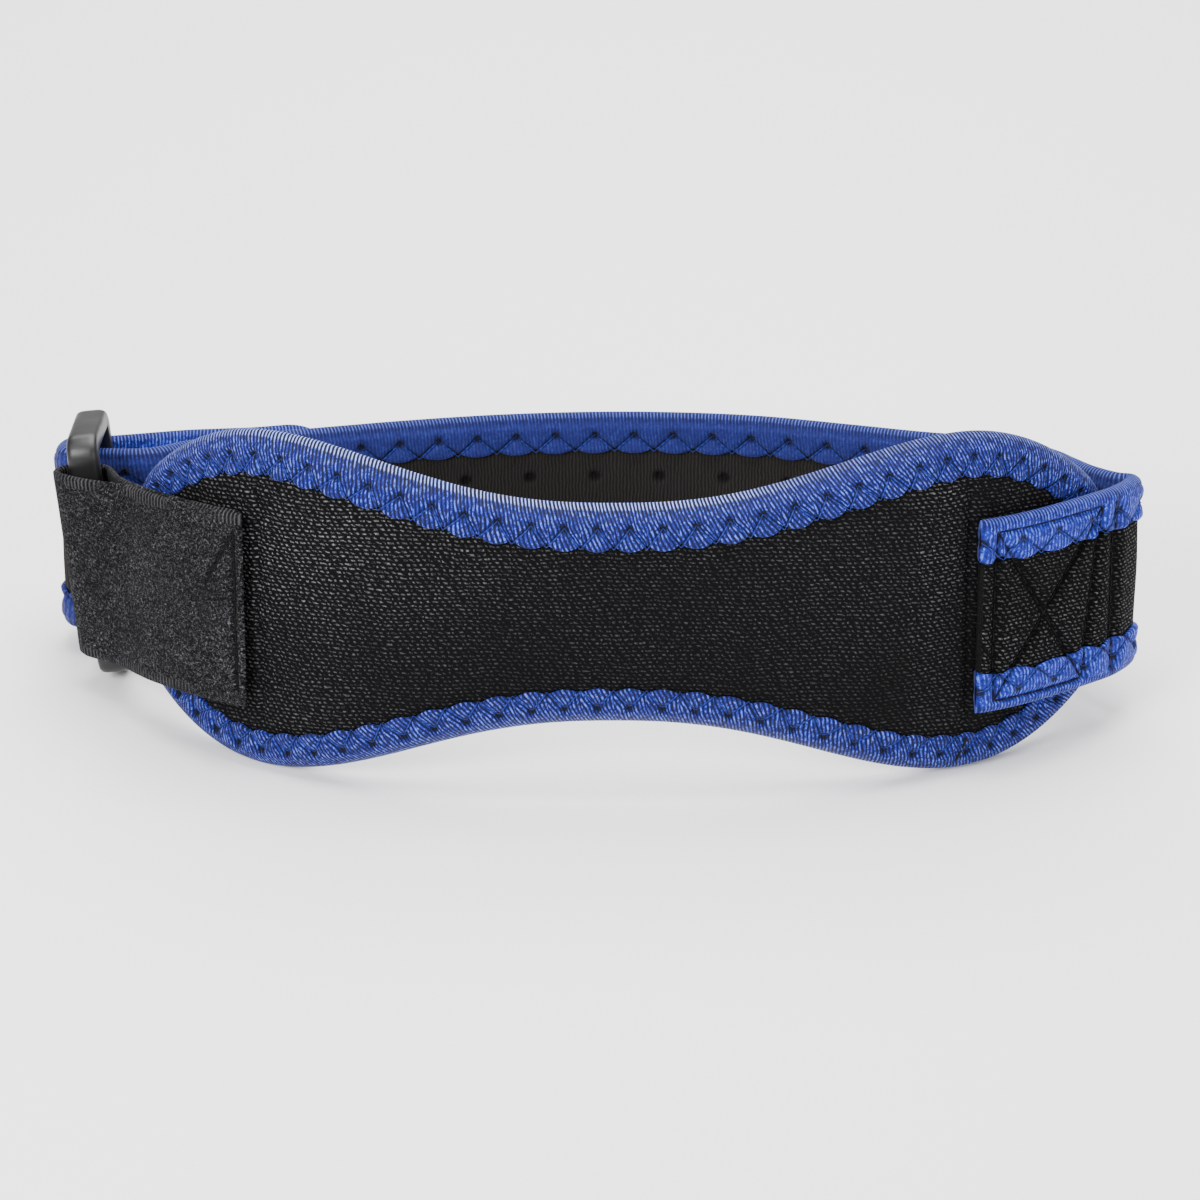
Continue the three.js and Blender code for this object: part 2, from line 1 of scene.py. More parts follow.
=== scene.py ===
"""A strap for the patellar tendon, dressed in its cloth, tape, thread and plastic.

Shapes are worked out in millimetres in the strap's own upright frame, where x runs along the pad, y from
the pad to the back of the loop and z up the leg. placed() then leans them back onto the table and turns
them into the frame's metres. run and along are millimetres along a piece, up its height from the middle,
inward the way in from its edge, and out the height over its middle surface.
"""
import json
import math

import bpy
import numpy as np
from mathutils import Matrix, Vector


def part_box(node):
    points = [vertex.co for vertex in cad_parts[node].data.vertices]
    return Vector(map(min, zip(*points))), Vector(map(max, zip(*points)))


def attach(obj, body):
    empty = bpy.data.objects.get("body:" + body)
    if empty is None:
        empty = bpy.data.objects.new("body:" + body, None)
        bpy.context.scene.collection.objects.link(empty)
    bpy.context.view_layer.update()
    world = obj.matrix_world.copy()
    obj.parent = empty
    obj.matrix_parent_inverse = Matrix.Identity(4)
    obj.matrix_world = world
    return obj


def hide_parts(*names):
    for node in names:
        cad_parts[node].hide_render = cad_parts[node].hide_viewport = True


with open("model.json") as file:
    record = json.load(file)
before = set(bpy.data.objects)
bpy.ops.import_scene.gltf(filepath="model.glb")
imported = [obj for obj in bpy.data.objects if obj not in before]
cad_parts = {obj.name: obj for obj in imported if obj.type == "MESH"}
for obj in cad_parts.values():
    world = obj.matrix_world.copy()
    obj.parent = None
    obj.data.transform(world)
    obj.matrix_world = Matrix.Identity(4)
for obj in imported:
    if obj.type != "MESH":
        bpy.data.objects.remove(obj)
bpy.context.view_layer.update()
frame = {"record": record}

# ---- Sizes in millimetres, the same as the solids' ----
PAD_LENGTH = 238.0
LOBE_HEIGHT = 78.4
LOBE_SPACING = 156.0
WAIST_HEIGHT = 50.4
PAD_END_HEIGHT = 37.0
PAD_CORNER_RUN = 10.0
WAIST_BREADTH = 1.25
FLAT_WIDTH = 36.0
MIDDLE_LENGTH = 90.0
MIDDLE_RADIUS = 300.0
LEFT_END_RADIUS = 92.0
RIGHT_END_RADIUS = 120.0
ROLL_RADIUS = 2.4
CROWN_RISE = 4.5
SHOULDER_RUN = 5.0
BACK_RISE = 0.8
BACK_SHOULDER = 12.0
PADDING_LENGTH = 157.0
PADDING_FADE = 16.0
SEAM_PUFF = 0.65
END_PUFF = 0.15
TAPE_THICKNESS = 1.0
PAD_BINDING_WIDTH = 9.1
STRAP_BINDING_WIDTH = 9.4
TAPE_STEP = 0.7
GAP = 0.3
STRAP_HEIGHT = 45.0
STRAP_THICKNESS = 3.4
STRAP_EDGE_THICKNESS = 2.0
SEWN_FROM_SEAM = 0.6
SEWN_DROP = 1.7
CORNER_REACH = 9.3
LOOP_DEPTH = 88.7
TAIL_LENGTH = 46.0
TAIL_CORNER_RUN = 9.0
TAIL_CORNER_DROP = 5.0
FOLD_SLACK = 0.9
FOLD_REACH = 26.0
PIT_RADIUS = 1.2
PIT_DEPTH = 1.2
PIT_PITCH = 15.8
PIT_ROW_SPACING = 13.8
RING_HEIGHT = 59.0
RING_DEPTH = 26.0
RING_THICKNESS = 7.2
BAR_WIDTH = 4.8
END_BAR_WIDTH = 5.0
RING_CORNER_RADIUS = 5.0
RING_LEAN = math.radians(5.3)
RING_TIP = math.radians(4.0)
RING_OUT = 10.6
RING_BACK = 16.6
RING_RISE = 1.0
TAB_HEIGHT = 45.0
TAB_THICKNESS = 1.6
TAB_DROP = 0.6
TAB_FROM_SEAM = 1.3
RING_PLAY = 0.8
PATCH_LENGTH = 28.0
PATCH_HEIGHT = 24.0
PATCH_THICKNESS = 1.0
STRAP_HALF_THICKNESS = STRAP_EDGE_THICKNESS / 2 + GAP + TAPE_THICKNESS
PAD_HALF = PAD_LENGTH / 2
SEAM_AT = PADDING_LENGTH / 2
STRAP_BOW = (
    # across: share of the way from the middle to the corner or the ring; back: share of the depth
    (0.975, 0.39),
    (0.932, 0.452),
    (0.897, 0.536),
    (0.868, 0.612),
    (0.815, 0.688),
    (0.73, 0.745),
    (0.62, 0.792),
    (0.48, 0.866),
    (0.3, 0.955),
    (0.15, 0.991),
    (-0.01, 1.0),
    (-0.22, 0.971),
    (-0.42, 0.905),
    (-0.58, 0.835),
    (-0.72, 0.774),
    (-0.83, 0.722),
)

# ---- Sizes of what is added here, in millimetres ----
RIB_PITCH = 0.83
PAD_RIB_SLANT = 0.4  # of the way across
STRAP_RIB_SLANT = 0.1
PAD_ZIGZAG_PITCH = 7.0
STRAP_ZIGZAG_PITCH = 9.6
ZIGZAG_HOLE_IN = 4.7  # from the pad's edge to the outer needle holes
STRAP_HOLE_IN = ZIGZAG_HOLE_IN + 0.4
EDGE_STITCH_IN = 0.4  # from the tape's inner edge to the inner needle holes
FURROW_DEPTH, FURROW_WIDTH = 0.48, 0.5  # along each thread
NEEDLE_PIT_DEPTH, NEEDLE_PIT_WIDTH = 0.6, 0.8
TAPE_SWELL, TAPE_SWELL_WIDTH = 0.5, 1.2  # between the threads
SCALLOP = 1.25
SCALLOP_IN = 0.9  # from the tape's width in to where the thread pulls its edge
BACK_RELIEF = 0.6  # of the front's relief, on the pad's back
THREAD_RADIUS = 0.19
SEAM_THREAD_RADIUS = 0.2
LOOSE_THREAD_RADIUS = 0.34
THREAD_SIDES = 6
THREAD_STEPS = 7  # points along one stitch
STITCH_RUN = 3.0  # millimetres of twist that a stitch shows
PAD_THREAD_LIFT = 0.12
STRAP_THREAD_LIFT = 0.1
ZIGZAG_ARCH, ZIGZAG_SUNK = 0.28, 0.05  # how far a stitch stands up, and how deep its ends lie
SEAM_ARCH, SEAM_SUNK = 0.2, 0.04
RETURN_ARCH = 0.35  # of a full arch, for the thread's way back from the edge
SEAM_STITCH = 2.9
SEAM_STITCH_GAP = 0.5
PAD_SEAM_DEPTH, PAD_SEAM_WIDTH = 0.9, 0.9  # the cross seams' grooves in the pad
PUCKER_DEPTH, PUCKER_PITCH = 0.14, 2.7
PUCKERS_IN, PUCKERS_WIDTH = 3.2, 2.6  # the band of puckers beside each cross seam
COVER_SHORT = 1.5  # the knit stops short of the pad's edge, inside the fold
COVER_LEAST = 0.35  # its least half thickness there
BAND_SHORT = 2.4
BAND_LEAST = 0.1
PRESS_DEPTH, PRESS_WIDTH = 1.05, 1.15  # what the box seam presses into the strap
PILLOW = 0.45  # what swells between its lines
CROSS_SEAM_BREADTH = 1.7  # of a box seam's width
SEAM_SHADE_ON_BAND = 0.75  # how wide the painted shade along the seams' grooves is on the cloth and on the tape
SEAM_SHADE_ON_TAPE = 0.42
LOOSE_THREAD_LIFT = 0.85
LIP_DROP = 0.45  # the tape's cut edge turns down onto the cloth
BACK_LIP_DROP = 0.3
KNIT_ROW = 0.92
KNIT_DASH = 1.43
KNIT_SHIFT = 0.46  # of a dash, from one row to the next
HOOK_SPACING = 1.496
HOOK_HEIGHT = 0.1
FAR_FACE = 200.0  # added to the flat height on a piece's far face, where its pattern is another
# seeded wanders of the cloth: the seed, the width of a swell and its height
FRONT_WANDER = (4, 34, 0.55)
BACK_WANDER = (5, 40, 0.25)
PUCKER_WANDER = (6, 12, 9.0)
STRAP_OUTER_WANDER = (8, 26, 0.22)
STRAP_INNER_WANDER = (9, 26, 0.22)
TAB_WANDER = (12, 19, 0.22)
# distances between the points of the meshes
BAND_STEP = 0.62
TAPE_RUN_STEP = 0.6
TAB_STEP = 0.5

# ---- The camera, as it stood to the strap ----
VIEW_ELEVATION = math.radians(17.5)  # above the upright frame's own xy plane
VIEW_DISTANCE = 900.0
VIEW_AIM = np.array([-3.0, 9.3, 0.0])
VIEW_LENS = 120.7
SENSOR = 36.0


def mix(a, b, share):
    """The value a share of the way from a to b."""
    return a + (b - a) * share


def smooth(value):
    """0 to 1 with an ease at both ends."""
    t = np.clip(value, 0.0, 1.0)
    return t * t * (3 - 2 * t)


# ---- The pad ----
def outline_half(along):
    """Half the pad's height: a cosine from waist to lobe, then a parabola down to the end."""
    a = np.abs(along)
    lobe_at = LOBE_SPACING / 2
    rise = (1 - np.cos(np.pi * np.minimum(a / lobe_at, 1) ** WAIST_BREADTH)) / 2
    fall = np.clip((a - lobe_at) / (PAD_HALF - lobe_at), 0, 1) ** 2
    inner = mix(WAIST_HEIGHT, LOBE_HEIGHT, rise)
    outer = mix(LOBE_HEIGHT, PAD_END_HEIGHT, fall)
    return np.where(a < lobe_at, inner, outer) / 2


def pad_quarter():
    """The outline from the middle of the right end up and over to the top of the waist."""
    start = PAD_HALF - PAD_CORNER_RUN
    slope = (outline_half(start) - outline_half(start - 0.1)) / 0.1
    corner = outline_half(start) + slope * PAD_CORNER_RUN
    end = corner - PAD_CORNER_RUN * math.hypot(1, slope)
    t = np.linspace(0, 1, 20)[:, None]
    knots = np.array([[PAD_HALF, end], [PAD_HALF, corner], [start, outline_half(start)]])
    curve = (1 - t) ** 2 * knots[0] + 2 * t * (1 - t) * knots[1] + t**2 * knots[2]
    along = start * (1 - np.linspace(0, 1, 120)[1:])
    side = np.stack([along, outline_half(along)], 1)
    return np.vstack([[[PAD_HALF, 0.0]], curve, side])


def resampled(points, count=None, step=None):
    """Points at even arc lengths along a polyline, with those lengths."""
    runs = np.concatenate([[0], np.cumsum(np.linalg.norm(np.diff(points, axis=0), axis=1))])
    count = count or max(2, int(round(runs[-1] / step)) + 1)
    at = np.linspace(0, runs[-1], count)
    return np.stack([np.interp(at, runs, points[:, i]) for i in range(points.shape[1])], 1), at


def pad_outline(step):
    """The closed outline, anticlockwise from the right end, the arc length at each point, the whole
    length and how many zigzags fit it."""
    quarter = pad_quarter()
    left = quarter[::-1] * [-1, 1]
    half = np.vstack([quarter, left[1:]])
    under = half[::-1] * [1, -1]
    loop = np.vstack([half, under[1:]])
    length = np.linalg.norm(np.diff(loop, axis=0), axis=1).sum()
    zigzags = round(length / PAD_ZIGZAG_PITCH)
    points, at = resampled(loop, count=int(round(length / step)) + 1)
    return points[:-1], at[:-1], length, zigzags


def inward_normals(points):
    """Unit directions into a closed anticlockwise outline: its chords turned a quarter left."""
    run = np.roll(points, -1, 0) - np.roll(points, 1, 0)
    run /= np.linalg.norm(run, axis=1)[:, None]
    return np.stack([-run[:, 1], run[:, 0]], 1)


COARSE_OUTLINE = pad_outline(1.6)[0]
EDGE_POINTS, EDGE_RUN, PAD_TAPE_LENGTH, PAD_ZIGZAGS = pad_outline(0.55)
EDGE_INWARDS = inward_normals(EDGE_POINTS)
PAD_TAPE_PITCH = PAD_TAPE_LENGTH / PAD_ZIGZAGS
BATCH = 8000  # points measured at once, to spare memory


def distance_in(along, up):
    """Distance from points of the flat pad to its outline."""
    flat = np.stack([np.ravel(along), np.ravel(up)], 1)
    near = np.empty(len(flat))
    for start in range(0, len(flat), BATCH):
        part = flat[start : start + BATCH]
        squares = ((part[:, None] - COARSE_OUTLINE[None]) ** 2).sum(2)
        near[start : start + BATCH] = np.sqrt(squares.min(1))
    return near.reshape(np.shape(along))


def pad_plan(along):
    """The middle surface in plan and its front normal: flat, then a shallow arc, then a tighter one."""
    side = np.where(along < 0, -1.0, 1.0)
    end_radius = np.where(along < 0, LEFT_END_RADIUS, RIGHT_END_RADIUS)
    left = np.abs(along)
    run = np.minimum(left, FLAT_WIDTH / 2)
    x, y, heading = run, np.zeros_like(run), np.zeros_like(run)
    left = left - run
    shallow = (MIDDLE_LENGTH - FLAT_WIDTH) / 2
    for length, radius in ((shallow, MIDDLE_RADIUS), (np.inf, end_radius)):
        run = np.minimum(left, length)
        turned = heading + run / radius
        x = x + radius * (np.sin(turned) - np.sin(heading))
        y = y + radius * (np.cos(heading) - np.cos(turned))
        heading = turned
        left = left - run
    return side * x, y, side * np.sin(heading), -np.cos(heading)


def pad_point(along, up, out):
    """A point of the pad: its place in plan, moved out along the front normal."""
    x, y, nx, ny = pad_plan(np.asarray(along, float))
    return np.stack([x + nx * out, y + ny * out, np.broadcast_to(up, np.shape(x)) + 0 * out], -1)


def puff(along):
    """The padding's share of its full rise: less towards a cross seam, and least at the pad's end."""
    a = np.abs(along)
    inside = mix(SEAM_PUFF, 1.0, smooth((SEAM_AT - a) / PADDING_FADE))
    outside = mix(SEAM_PUFF, END_PUFF, np.clip((a - SEAM_AT) / (PAD_HALF - SEAM_AT), 0, 1))
    return np.where(a < SEAM_AT, inside, outside)


def roll(inward):
    """The rolled edge: a quarter circle, then flat."""
    return np.sqrt(np.maximum(ROLL_RADIUS**2 - np.maximum(ROLL_RADIUS - inward, 0) ** 2, 0))


def pad_front(inward, along):
    """Height of the pad's front: the roll and a crown that rises away from the edge."""
    return roll(inward) + puff(along) * CROWN_RISE * (1 - np.exp(-inward / SHOULDER_RUN))


def pad_back(inward):
    """Height of the pad's back: the roll and a slight even rise."""
    return roll(inward) + BACK_RISE * np.clip(inward / BACK_SHOULDER, 0, 1)


# ---- The strap's path ----
def through(points, per_span=60):
    """A centripetal Catmull-Rom curve through points, as a dense polyline."""
    p = np.asarray(points, float)
    p = np.vstack([2 * p[0] - p[1], p, 2 * p[-1] - p[-2]])
    knots = np.sqrt(np.linalg.norm(np.diff(p, axis=0), axis=1))
    t = np.linspace(0, 1, per_span, endpoint=False)[:, None]
    spans = []
    for i in range(1, len(p) - 2):
        before, inside, after = knots[i - 1], knots[i], knots[i + 1]
        p0, p1, p2, p3 = p[i - 1 : i + 3]
        leave = (p1 - p0) / before - (p2 - p0) / (before + inside) + (p2 - p1) / inside
        arrive = (p2 - p1) / inside - (p3 - p1) / (inside + after) + (p3 - p2) / after
        leave, arrive = leave * inside, arrive * inside
        cubic = 2 * p1 - 2 * p2 + leave + arrive
        square = -3 * p1 + 3 * p2 - 2 * leave - arrive
        spans.append(p1 + leave * t + square * t**2 + cubic * t**3)
    return np.vstack([*spans, p[-2:-1]])


class Path:
    """A plan curve that gives its point and outward normal at any arc length."""

    def __init__(self, points):
        self.points, self.runs = resampled(through(points), step=0.25)
        run = np.gradient(self.points, axis=0)
        run /= np.linalg.norm(run, axis=1)[:, None]
        self.tangents = run
        self.length = self.runs[-1]

    def at(self, run):
        return [np.interp(run, self.runs, self.points[:, i]) for i in (0, 1)]

    def tangent(self, run):
        return [np.interp(run, self.runs, self.tangents[:, i]) for i in (0, 1)]

    def point(self, run, up, out):
        x, y = self.at(run)
        tx, ty = self.tangent(run)
        z = np.broadcast_to(up, np.shape(x)) + 0 * out
        return np.stack([x + ty * out, y - tx * out, z], -1)


PAD_LEFT_END = np.array([float(v) for v in pad_plan(np.array(-PAD_HALF))[:2]])
RING_MIDDLE = PAD_LEFT_END + [-RING_OUT, RING_BACK]
BAR_OFFSET = (RING_DEPTH - BAR_WIDTH) / 2
NEAR_BAR = RING_MIDDLE - [0, BAR_OFFSET]
FAR_BAR = RING_MIDDLE + [0, BAR_OFFSET]
LEAN_SLOPE = math.tan(RING_LEAN)
TIP_SLOPE = math.tan(RING_TIP)


def strap_path():
    """The middle line: sewn stretch, corner, bow, through the ring, round its far bar, and tail. The
    fold's points are shares of the clearances round the bar, and each point of the tail lies beside the
    main run, at the share of the tail's length that the table gives."""
    along = mix(SEAM_AT + SEWN_FROM_SEAM, PAD_HALF - ROLL_RADIUS, np.linspace(0, 1, 5))
    lift = pad_front(PAD_HALF - along, along) + GAP + STRAP_HALF_THICKNESS
    sewn = pad_point(along, 0, lift)[:, :2]
    x, y, nx, ny = (float(v) for v in pad_plan(np.array(PAD_HALF)))
    reach = CORNER_REACH - STRAP_HALF_THICKNESS
    tip = np.array([x - ny * reach + nx, y + nx * reach + ny])
    bow = [
        (across * tip[0] if across > 0 else -across * RING_MIDDLE[0], back * LOOP_DEPTH)
        for across, back in STRAP_BOW
    ]
    clear = BAR_WIDTH / 2 + RING_PLAY + STRAP_HALF_THICKNESS
    swing = LEAN_SLOPE * STRAP_HEIGHT / 2
    side = RING_THICKNESS / 2 + swing + GAP + STRAP_HALF_THICKNESS + FOLD_SLACK
    fx, fy = FAR_BAR
    window = [(fx + side * 1.15, fy - clear * 0.98), (fx, fy - clear)]
    main = [*map(tuple, sewn), tuple(tip), *bow, *window]
    fold = [
        (fx - side * 0.84, fy - clear * 0.8),
        (fx - side, fy),
        (fx - side * 0.84, fy + clear * 0.8),
        (fx, fy + clear),
    ]
    first = Path(main)
    fastened = STRAP_THICKNESS + PATCH_THICKNESS + 2 * GAP
    tail = []
    for share in (0.32, 0.48, 0.64, 0.8, 0.9, 1):
        run = first.length - (share * TAIL_LENGTH + side)
        px, py = first.at(run)
        tx, ty = first.tangent(run)
        away = mix(2 * clear, fastened, float(smooth((share - 0.1) / 0.6)))
        tail.append((px + ty * away, py - tx * away))
    return Path([*main, *fold, *tail])


STRAP = strap_path()


def strap_point(run, up, out):
    """A point of the strap. Near the bar it folds round, it tips to the front as the ring does."""
    x, y = STRAP.at(run)
    away = np.hypot(x - FAR_BAR[0], y - FAR_BAR[1])
    point = STRAP.point(run, up, out)
    point[..., 1] -= TIP_SLOPE * smooth(1.5 - away / FOLD_REACH) * up
    return point


def strap_half(run):
    """Half the strap's height, with the corners at the tip of its tail taken off."""
    tip = np.clip((run - STRAP.length + TAIL_CORNER_RUN) / TAIL_CORNER_RUN, 0, 1)
    return STRAP_HEIGHT / 2 - TAIL_CORNER_DROP * (1 - np.sqrt(1 - tip**2 * 0.96))


def strap_drop(run):
    """The sewn end lies lower than the rest and rises to it along the pad's end."""
    return -SEWN_DROP * (1 - smooth(run / (PAD_HALF - SEAM_AT)))


# ---- From the upright frame to the frame's metres ----
FACE_AXIS = frame["record"]["mounts"][0]["axis"]
TILT = math.atan2(-FACE_AXIS[2], FACE_AXIS[1])


def leaned(points):
    """Points of the upright frame turned about x by the tilt, in metres."""
    y = points[..., 1] * math.cos(TILT) + points[..., 2] * math.sin(TILT)
    z = -points[..., 1] * math.sin(TILT) + points[..., 2] * math.cos(TILT)
    return np.stack([points[..., 0], y, z], -1) / 1000


def middle(low, high):
    return (np.asarray(low) + np.asarray(high)) / 2


def frame_offset():
    """What brings the leaned pad's edge onto the solid's: the solid's box against the edge's own."""
    points = pad_outline(0.5)[0]
    inwards = inward_normals(points)
    turn = np.linspace(-np.pi / 2, np.pi / 2, 15)[None]
    inward = ROLL_RADIUS * (1 - np.cos(turn)) + 0 * points[:, :1]
    out = ROLL_RADIUS * np.sin(turn) + 0 * points[:, :1]
    along = points[:, :1] + inwards[:, :1] * inward
    up = points[:, 1:] + inwards[:, 1:] * inward
    edge = leaned(pad_point(along, up, out)).reshape(-1, 3)
    low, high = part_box("pad_binding")
    offset = middle(low, high) - middle(edge.min(0), edge.max(0))
    face = np.asarray(frame["record"]["mounts"][0]["pos_m"])
    back = leaned(np.array([0.0, pad_back(BACK_SHOULDER) - TAPE_STEP, 0.0]))
    axis = np.asarray(FACE_AXIS)
    return offset + axis * ((face - back - offset) @ axis)


OFFSET = frame_offset()


def placed(points):
    """Points of the upright frame in the frame's own place."""
    return leaned(np.asarray(points, float)) + OFFSET


# ---- Meshes ----
def grid_faces(rows, columns, wrap_rows=False, wrap_columns=False, start=0):
    """Quads of a grid of points, each wound so that rows x columns gives the outward normal."""
    i = np.arange(rows if wrap_rows else rows - 1)[:, None]
    j = np.arange(columns if wrap_columns else columns - 1)[None]
    k, m = (i + 1) % rows, (j + 1) % columns
    quads = np.stack([i * columns + j, k * columns + j, k * columns + m, i * columns + m], -1)
    return quads.reshape(-1, 4) + start


def make_piece(name, points, faces, flat, material, replaces=()):
    """An object from points in the upright frame, with what the finishes need kept at each point: its
    flat millimetres, which side it is on, and how deep in a seam's groove it lies."""
    mesh = bpy.data.meshes.new(name)
    mesh.from_pydata(placed(points).tolist(), [], [list(map(int, f)) for f in faces])
    kept = np.zeros((len(flat), 4), dtype=np.float32)
    kept[:, : np.shape(flat)[1]] = flat
    places = mesh.attributes.new("flat", "FLOAT_VECTOR", "POINT")
    places.data.foreach_set("vector", kept[:, :3].ravel())
    grooves = mesh.attributes.new("groove", "FLOAT", "POINT")
    grooves.data.foreach_set("value", kept[:, 3].copy())
    mesh.validate()
    mesh.update()
    outward(mesh)
    mesh.polygons.foreach_set("use_smooth", [True] * len(mesh.polygons))
    piece = bpy.data.objects.new(name, mesh)
    bpy.context.scene.collection.objects.link(piece)
    mesh.materials.append(material)
    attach(piece, "root")
    if replaces:
        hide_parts(*replaces)
    return piece


def outward(mesh):
    """Turns every face of a closed mesh round if its volume comes out negative."""
    mesh.calc_loop_triangles()
    corners = np.empty(len(mesh.vertices) * 3)
    mesh.vertices.foreach_get("co", corners)
    triangles = np.empty(len(mesh.loop_triangles) * 3, dtype=np.int32)
    mesh.loop_triangles.foreach_get("vertices", triangles)
    a, b, c = np.moveaxis(corners.reshape(-1, 3)[triangles.reshape(-1, 3)], 1, 0)
    if np.einsum("ij,ij->i", a, np.cross(b, c)).sum() < 0:
        mesh.flip_normals()


def closed_grid(grid, wrap_rows):
    """Points and faces of rows that close round. Open ends get a pole in the middle of each."""
    rows, columns = grid.shape[:2]
    points = grid.reshape(-1, grid.shape[-1])
    faces = [tuple(f) for f in grid_faces(rows, columns, wrap_rows, True)]
    if not wrap_rows:
        first, last = len(points), len(points) + 1
        points = np.vstack([points, grid[0].mean(0), grid[-1].mean(0)])
        base = (rows - 1) * columns
        j = np.arange(columns)
        k = (j + 1) % columns
        faces.extend(zip(first + 0 * j, j, k))
        faces.extend(zip(last + 0 * j, base + k, base + j))
    return points, faces


def sided(front, back, front_flat, back_flat):
    """Rows that run over a piece's front and return over its back, each point with its flat place."""
    grid = np.concatenate([front, back[:, ::-1]], 1)
    flat = np.concatenate([front_flat, back_flat[:, ::-1]], 1)
    return np.concatenate([grid, flat], -1)


def tubes(paths, normals, radius):
    """Thread: a many-sided tube along each path, thinning to a closed point at both ends. Its radius is
    a root of a sine of the share of the way."""
    count, steps = paths.shape[:2]
    run = np.gradient(paths, axis=1)
    run /= np.linalg.norm(run, axis=2)[..., None]
    side = np.cross(run, normals)
    side /= np.linalg.norm(side, axis=2)[..., None]
    up = np.cross(side, run)
    turn = np.arange(THREAD_SIDES) * 2 * math.pi / THREAD_SIDES
    share = np.linspace(0, 1, steps)
    thick = radius * (0.25 + 0.75 * np.sqrt(np.clip(np.sin(math.pi * share), 0, 1)))
    ring = up[:, :, None] * np.cos(turn)[:, None] + side[:, :, None] * np.sin(turn)[:, None]
    points = paths[:, :, None] + ring * thick[None, :, None, None]
    block = grid_faces(steps, THREAD_SIDES, False, True)
    sides = np.arange(THREAD_SIDES)
    faces = []
    for start in np.arange(count) * steps * THREAD_SIDES:
        faces.extend(tuple(f) for f in block + start)
        faces.append(tuple(start + sides[::-1]))
        faces.append(tuple(start + (steps - 1) * THREAD_SIDES + sides))
    flat = np.stack([share * STITCH_RUN, share * 0], 1)[None, :, None]
    flat = np.broadcast_to(flat, (count, steps, THREAD_SIDES, 2)).reshape(-1, 2)
    return points.reshape(-1, 3), faces, flat


# ---- How zigzag stitches shape the tape ----
def bell(off, width):
    """1 in the middle, falling off as a Gaussian."""
    return np.exp(-((off / width) ** 2))


def zigzag_depth(run, inward, pitch, hole_in, edge_in):
    """How far the tape is pulled down: a furrow along each thread, a pit at each needle hole, and a
    small swelling between them."""
    phase = np.mod(run / pitch, 1.0)
    share = 1 - np.abs(2 * phase - 1)
    line = mix(hole_in, edge_in, share)
    lean = math.cos(math.atan2(edge_in - hole_in, pitch / 2))
    off = np.abs(inward - line) * lean
    furrow = FURROW_DEPTH * bell(off, FURROW_WIDTH)
    along = (np.mod(run / pitch + 0.5, 1.0) - 0.5) * pitch
    pit = NEEDLE_PIT_DEPTH * bell(np.hypot(along, inward - hole_in), NEEDLE_PIT_WIDTH)
    swell = TAPE_SWELL * (1 - bell(off, TAPE_SWELL_WIDTH))
    return (furrow + pit - swell) * smooth((inward - 1.8) / 1.6)


def pad_tape_depth(run, inward):
    """The zigzag's relief on the pad's tape."""
    edge_in = PAD_BINDING_WIDTH - EDGE_STITCH_IN
    return zigzag_depth(run, inward, PAD_TAPE_PITCH, ZIGZAG_HOLE_IN, edge_in)


def scalloped(run, pitch, width):
    """The tape's inner edge: lobes between the points where the thread pulls it in."""
    phase = np.mod(run / pitch, 1.0)
    return width - SCALLOP_IN + SCALLOP * np.abs(np.sin(np.pi * (phase - 0.5))) ** 0.8


def on_surface(surface, runs, across, lift):
    """Points over a surface by lift, and its normals, each the way to a point half a millimetre up."""
    base = surface(runs, across, 0 * runs)
    normals = surface(runs, across, 0 * runs + 0.5) - base
    normals /= np.linalg.norm(normals, axis=-1)[..., None]
    return base + normals * np.broadcast_to(lift, runs.shape)[..., None], normals


def zigzag_threads(run_length, pitch, hole_in, edge_in, surface):
    """The threads of one side of the tape, from each hole to the edge and back out, each a low arch."""
    count = int(run_length / pitch)
    share = np.linspace(0, 1, THREAD_STEPS)
    k = np.arange(count)[:, None]
    zig_run = (k + share * 0.5) * pitch
    zag_run = (k + 1 - share * 0.5) * pitch
    inward = np.broadcast_to(mix(hole_in, edge_in + 0.3, share), zig_run.shape)
    strength = np.repeat([1.0, RETURN_ARCH], count)[:, None]
    lift = ZIGZAG_ARCH * np.sin(np.pi * share) * strength - ZIGZAG_SUNK
    return on_surface(surface, np.vstack([zig_run, zag_run]), np.vstack([inward, inward]), lift)


def fine_wave(u, v, seed, scale, size):
    """A smooth, seeded wander of the surface made of a few slanted sines."""
    rng = np.random.default_rng(seed)
    total = 0 * u
    for _ in range(7):
        angle, phase = rng.uniform(0, 2 * np.pi, 2)
        k = rng.uniform(0.6, 1.6) / scale
        total = total + np.sin(2 * np.pi * k * (u * np.cos(angle) + v * np.sin(angle)) + phase)
    return total / 7 * size


# ---- Pieces of the pad ----
def pad_cover_skin(along, up, front):
    """The knit's surface: the crowned padding, the cross seams' grooves, and a slight wander."""
    inward = distance_in(along, up)
    under = mix(TAPE_THICKNESS + GAP, TAPE_STEP, smooth((inward - PAD_BINDING_WIDTH + 0.9) / 0.8))
    open_cloth = smooth((inward - PAD_BINDING_WIDTH) / 3)
    if front:
        from_seam = np.abs(along) - SEAM_AT
        groove = PAD_SEAM_DEPTH * bell(from_seam, PAD_SEAM_WIDTH) * open_cloth
        out = pad_front(inward, along) - under - groove
        out = out + fine_wave(along, up, *FRONT_WANDER) * open_cloth
        # small puckers beside the cross seam
        beside = bell(from_seam + PUCKERS_IN, PUCKERS_WIDTH) * open_cloth
        phase = 2 * np.pi * up / PUCKER_PITCH + fine_wave(along, up, *PUCKER_WANDER)
        out = out + PUCKER_DEPTH * beside * np.sin(phase)
    else:
        out = pad_back(inward) - under + fine_wave(along, up, *BACK_WANDER) * open_cloth
    return np.maximum(out, COVER_LEAST)


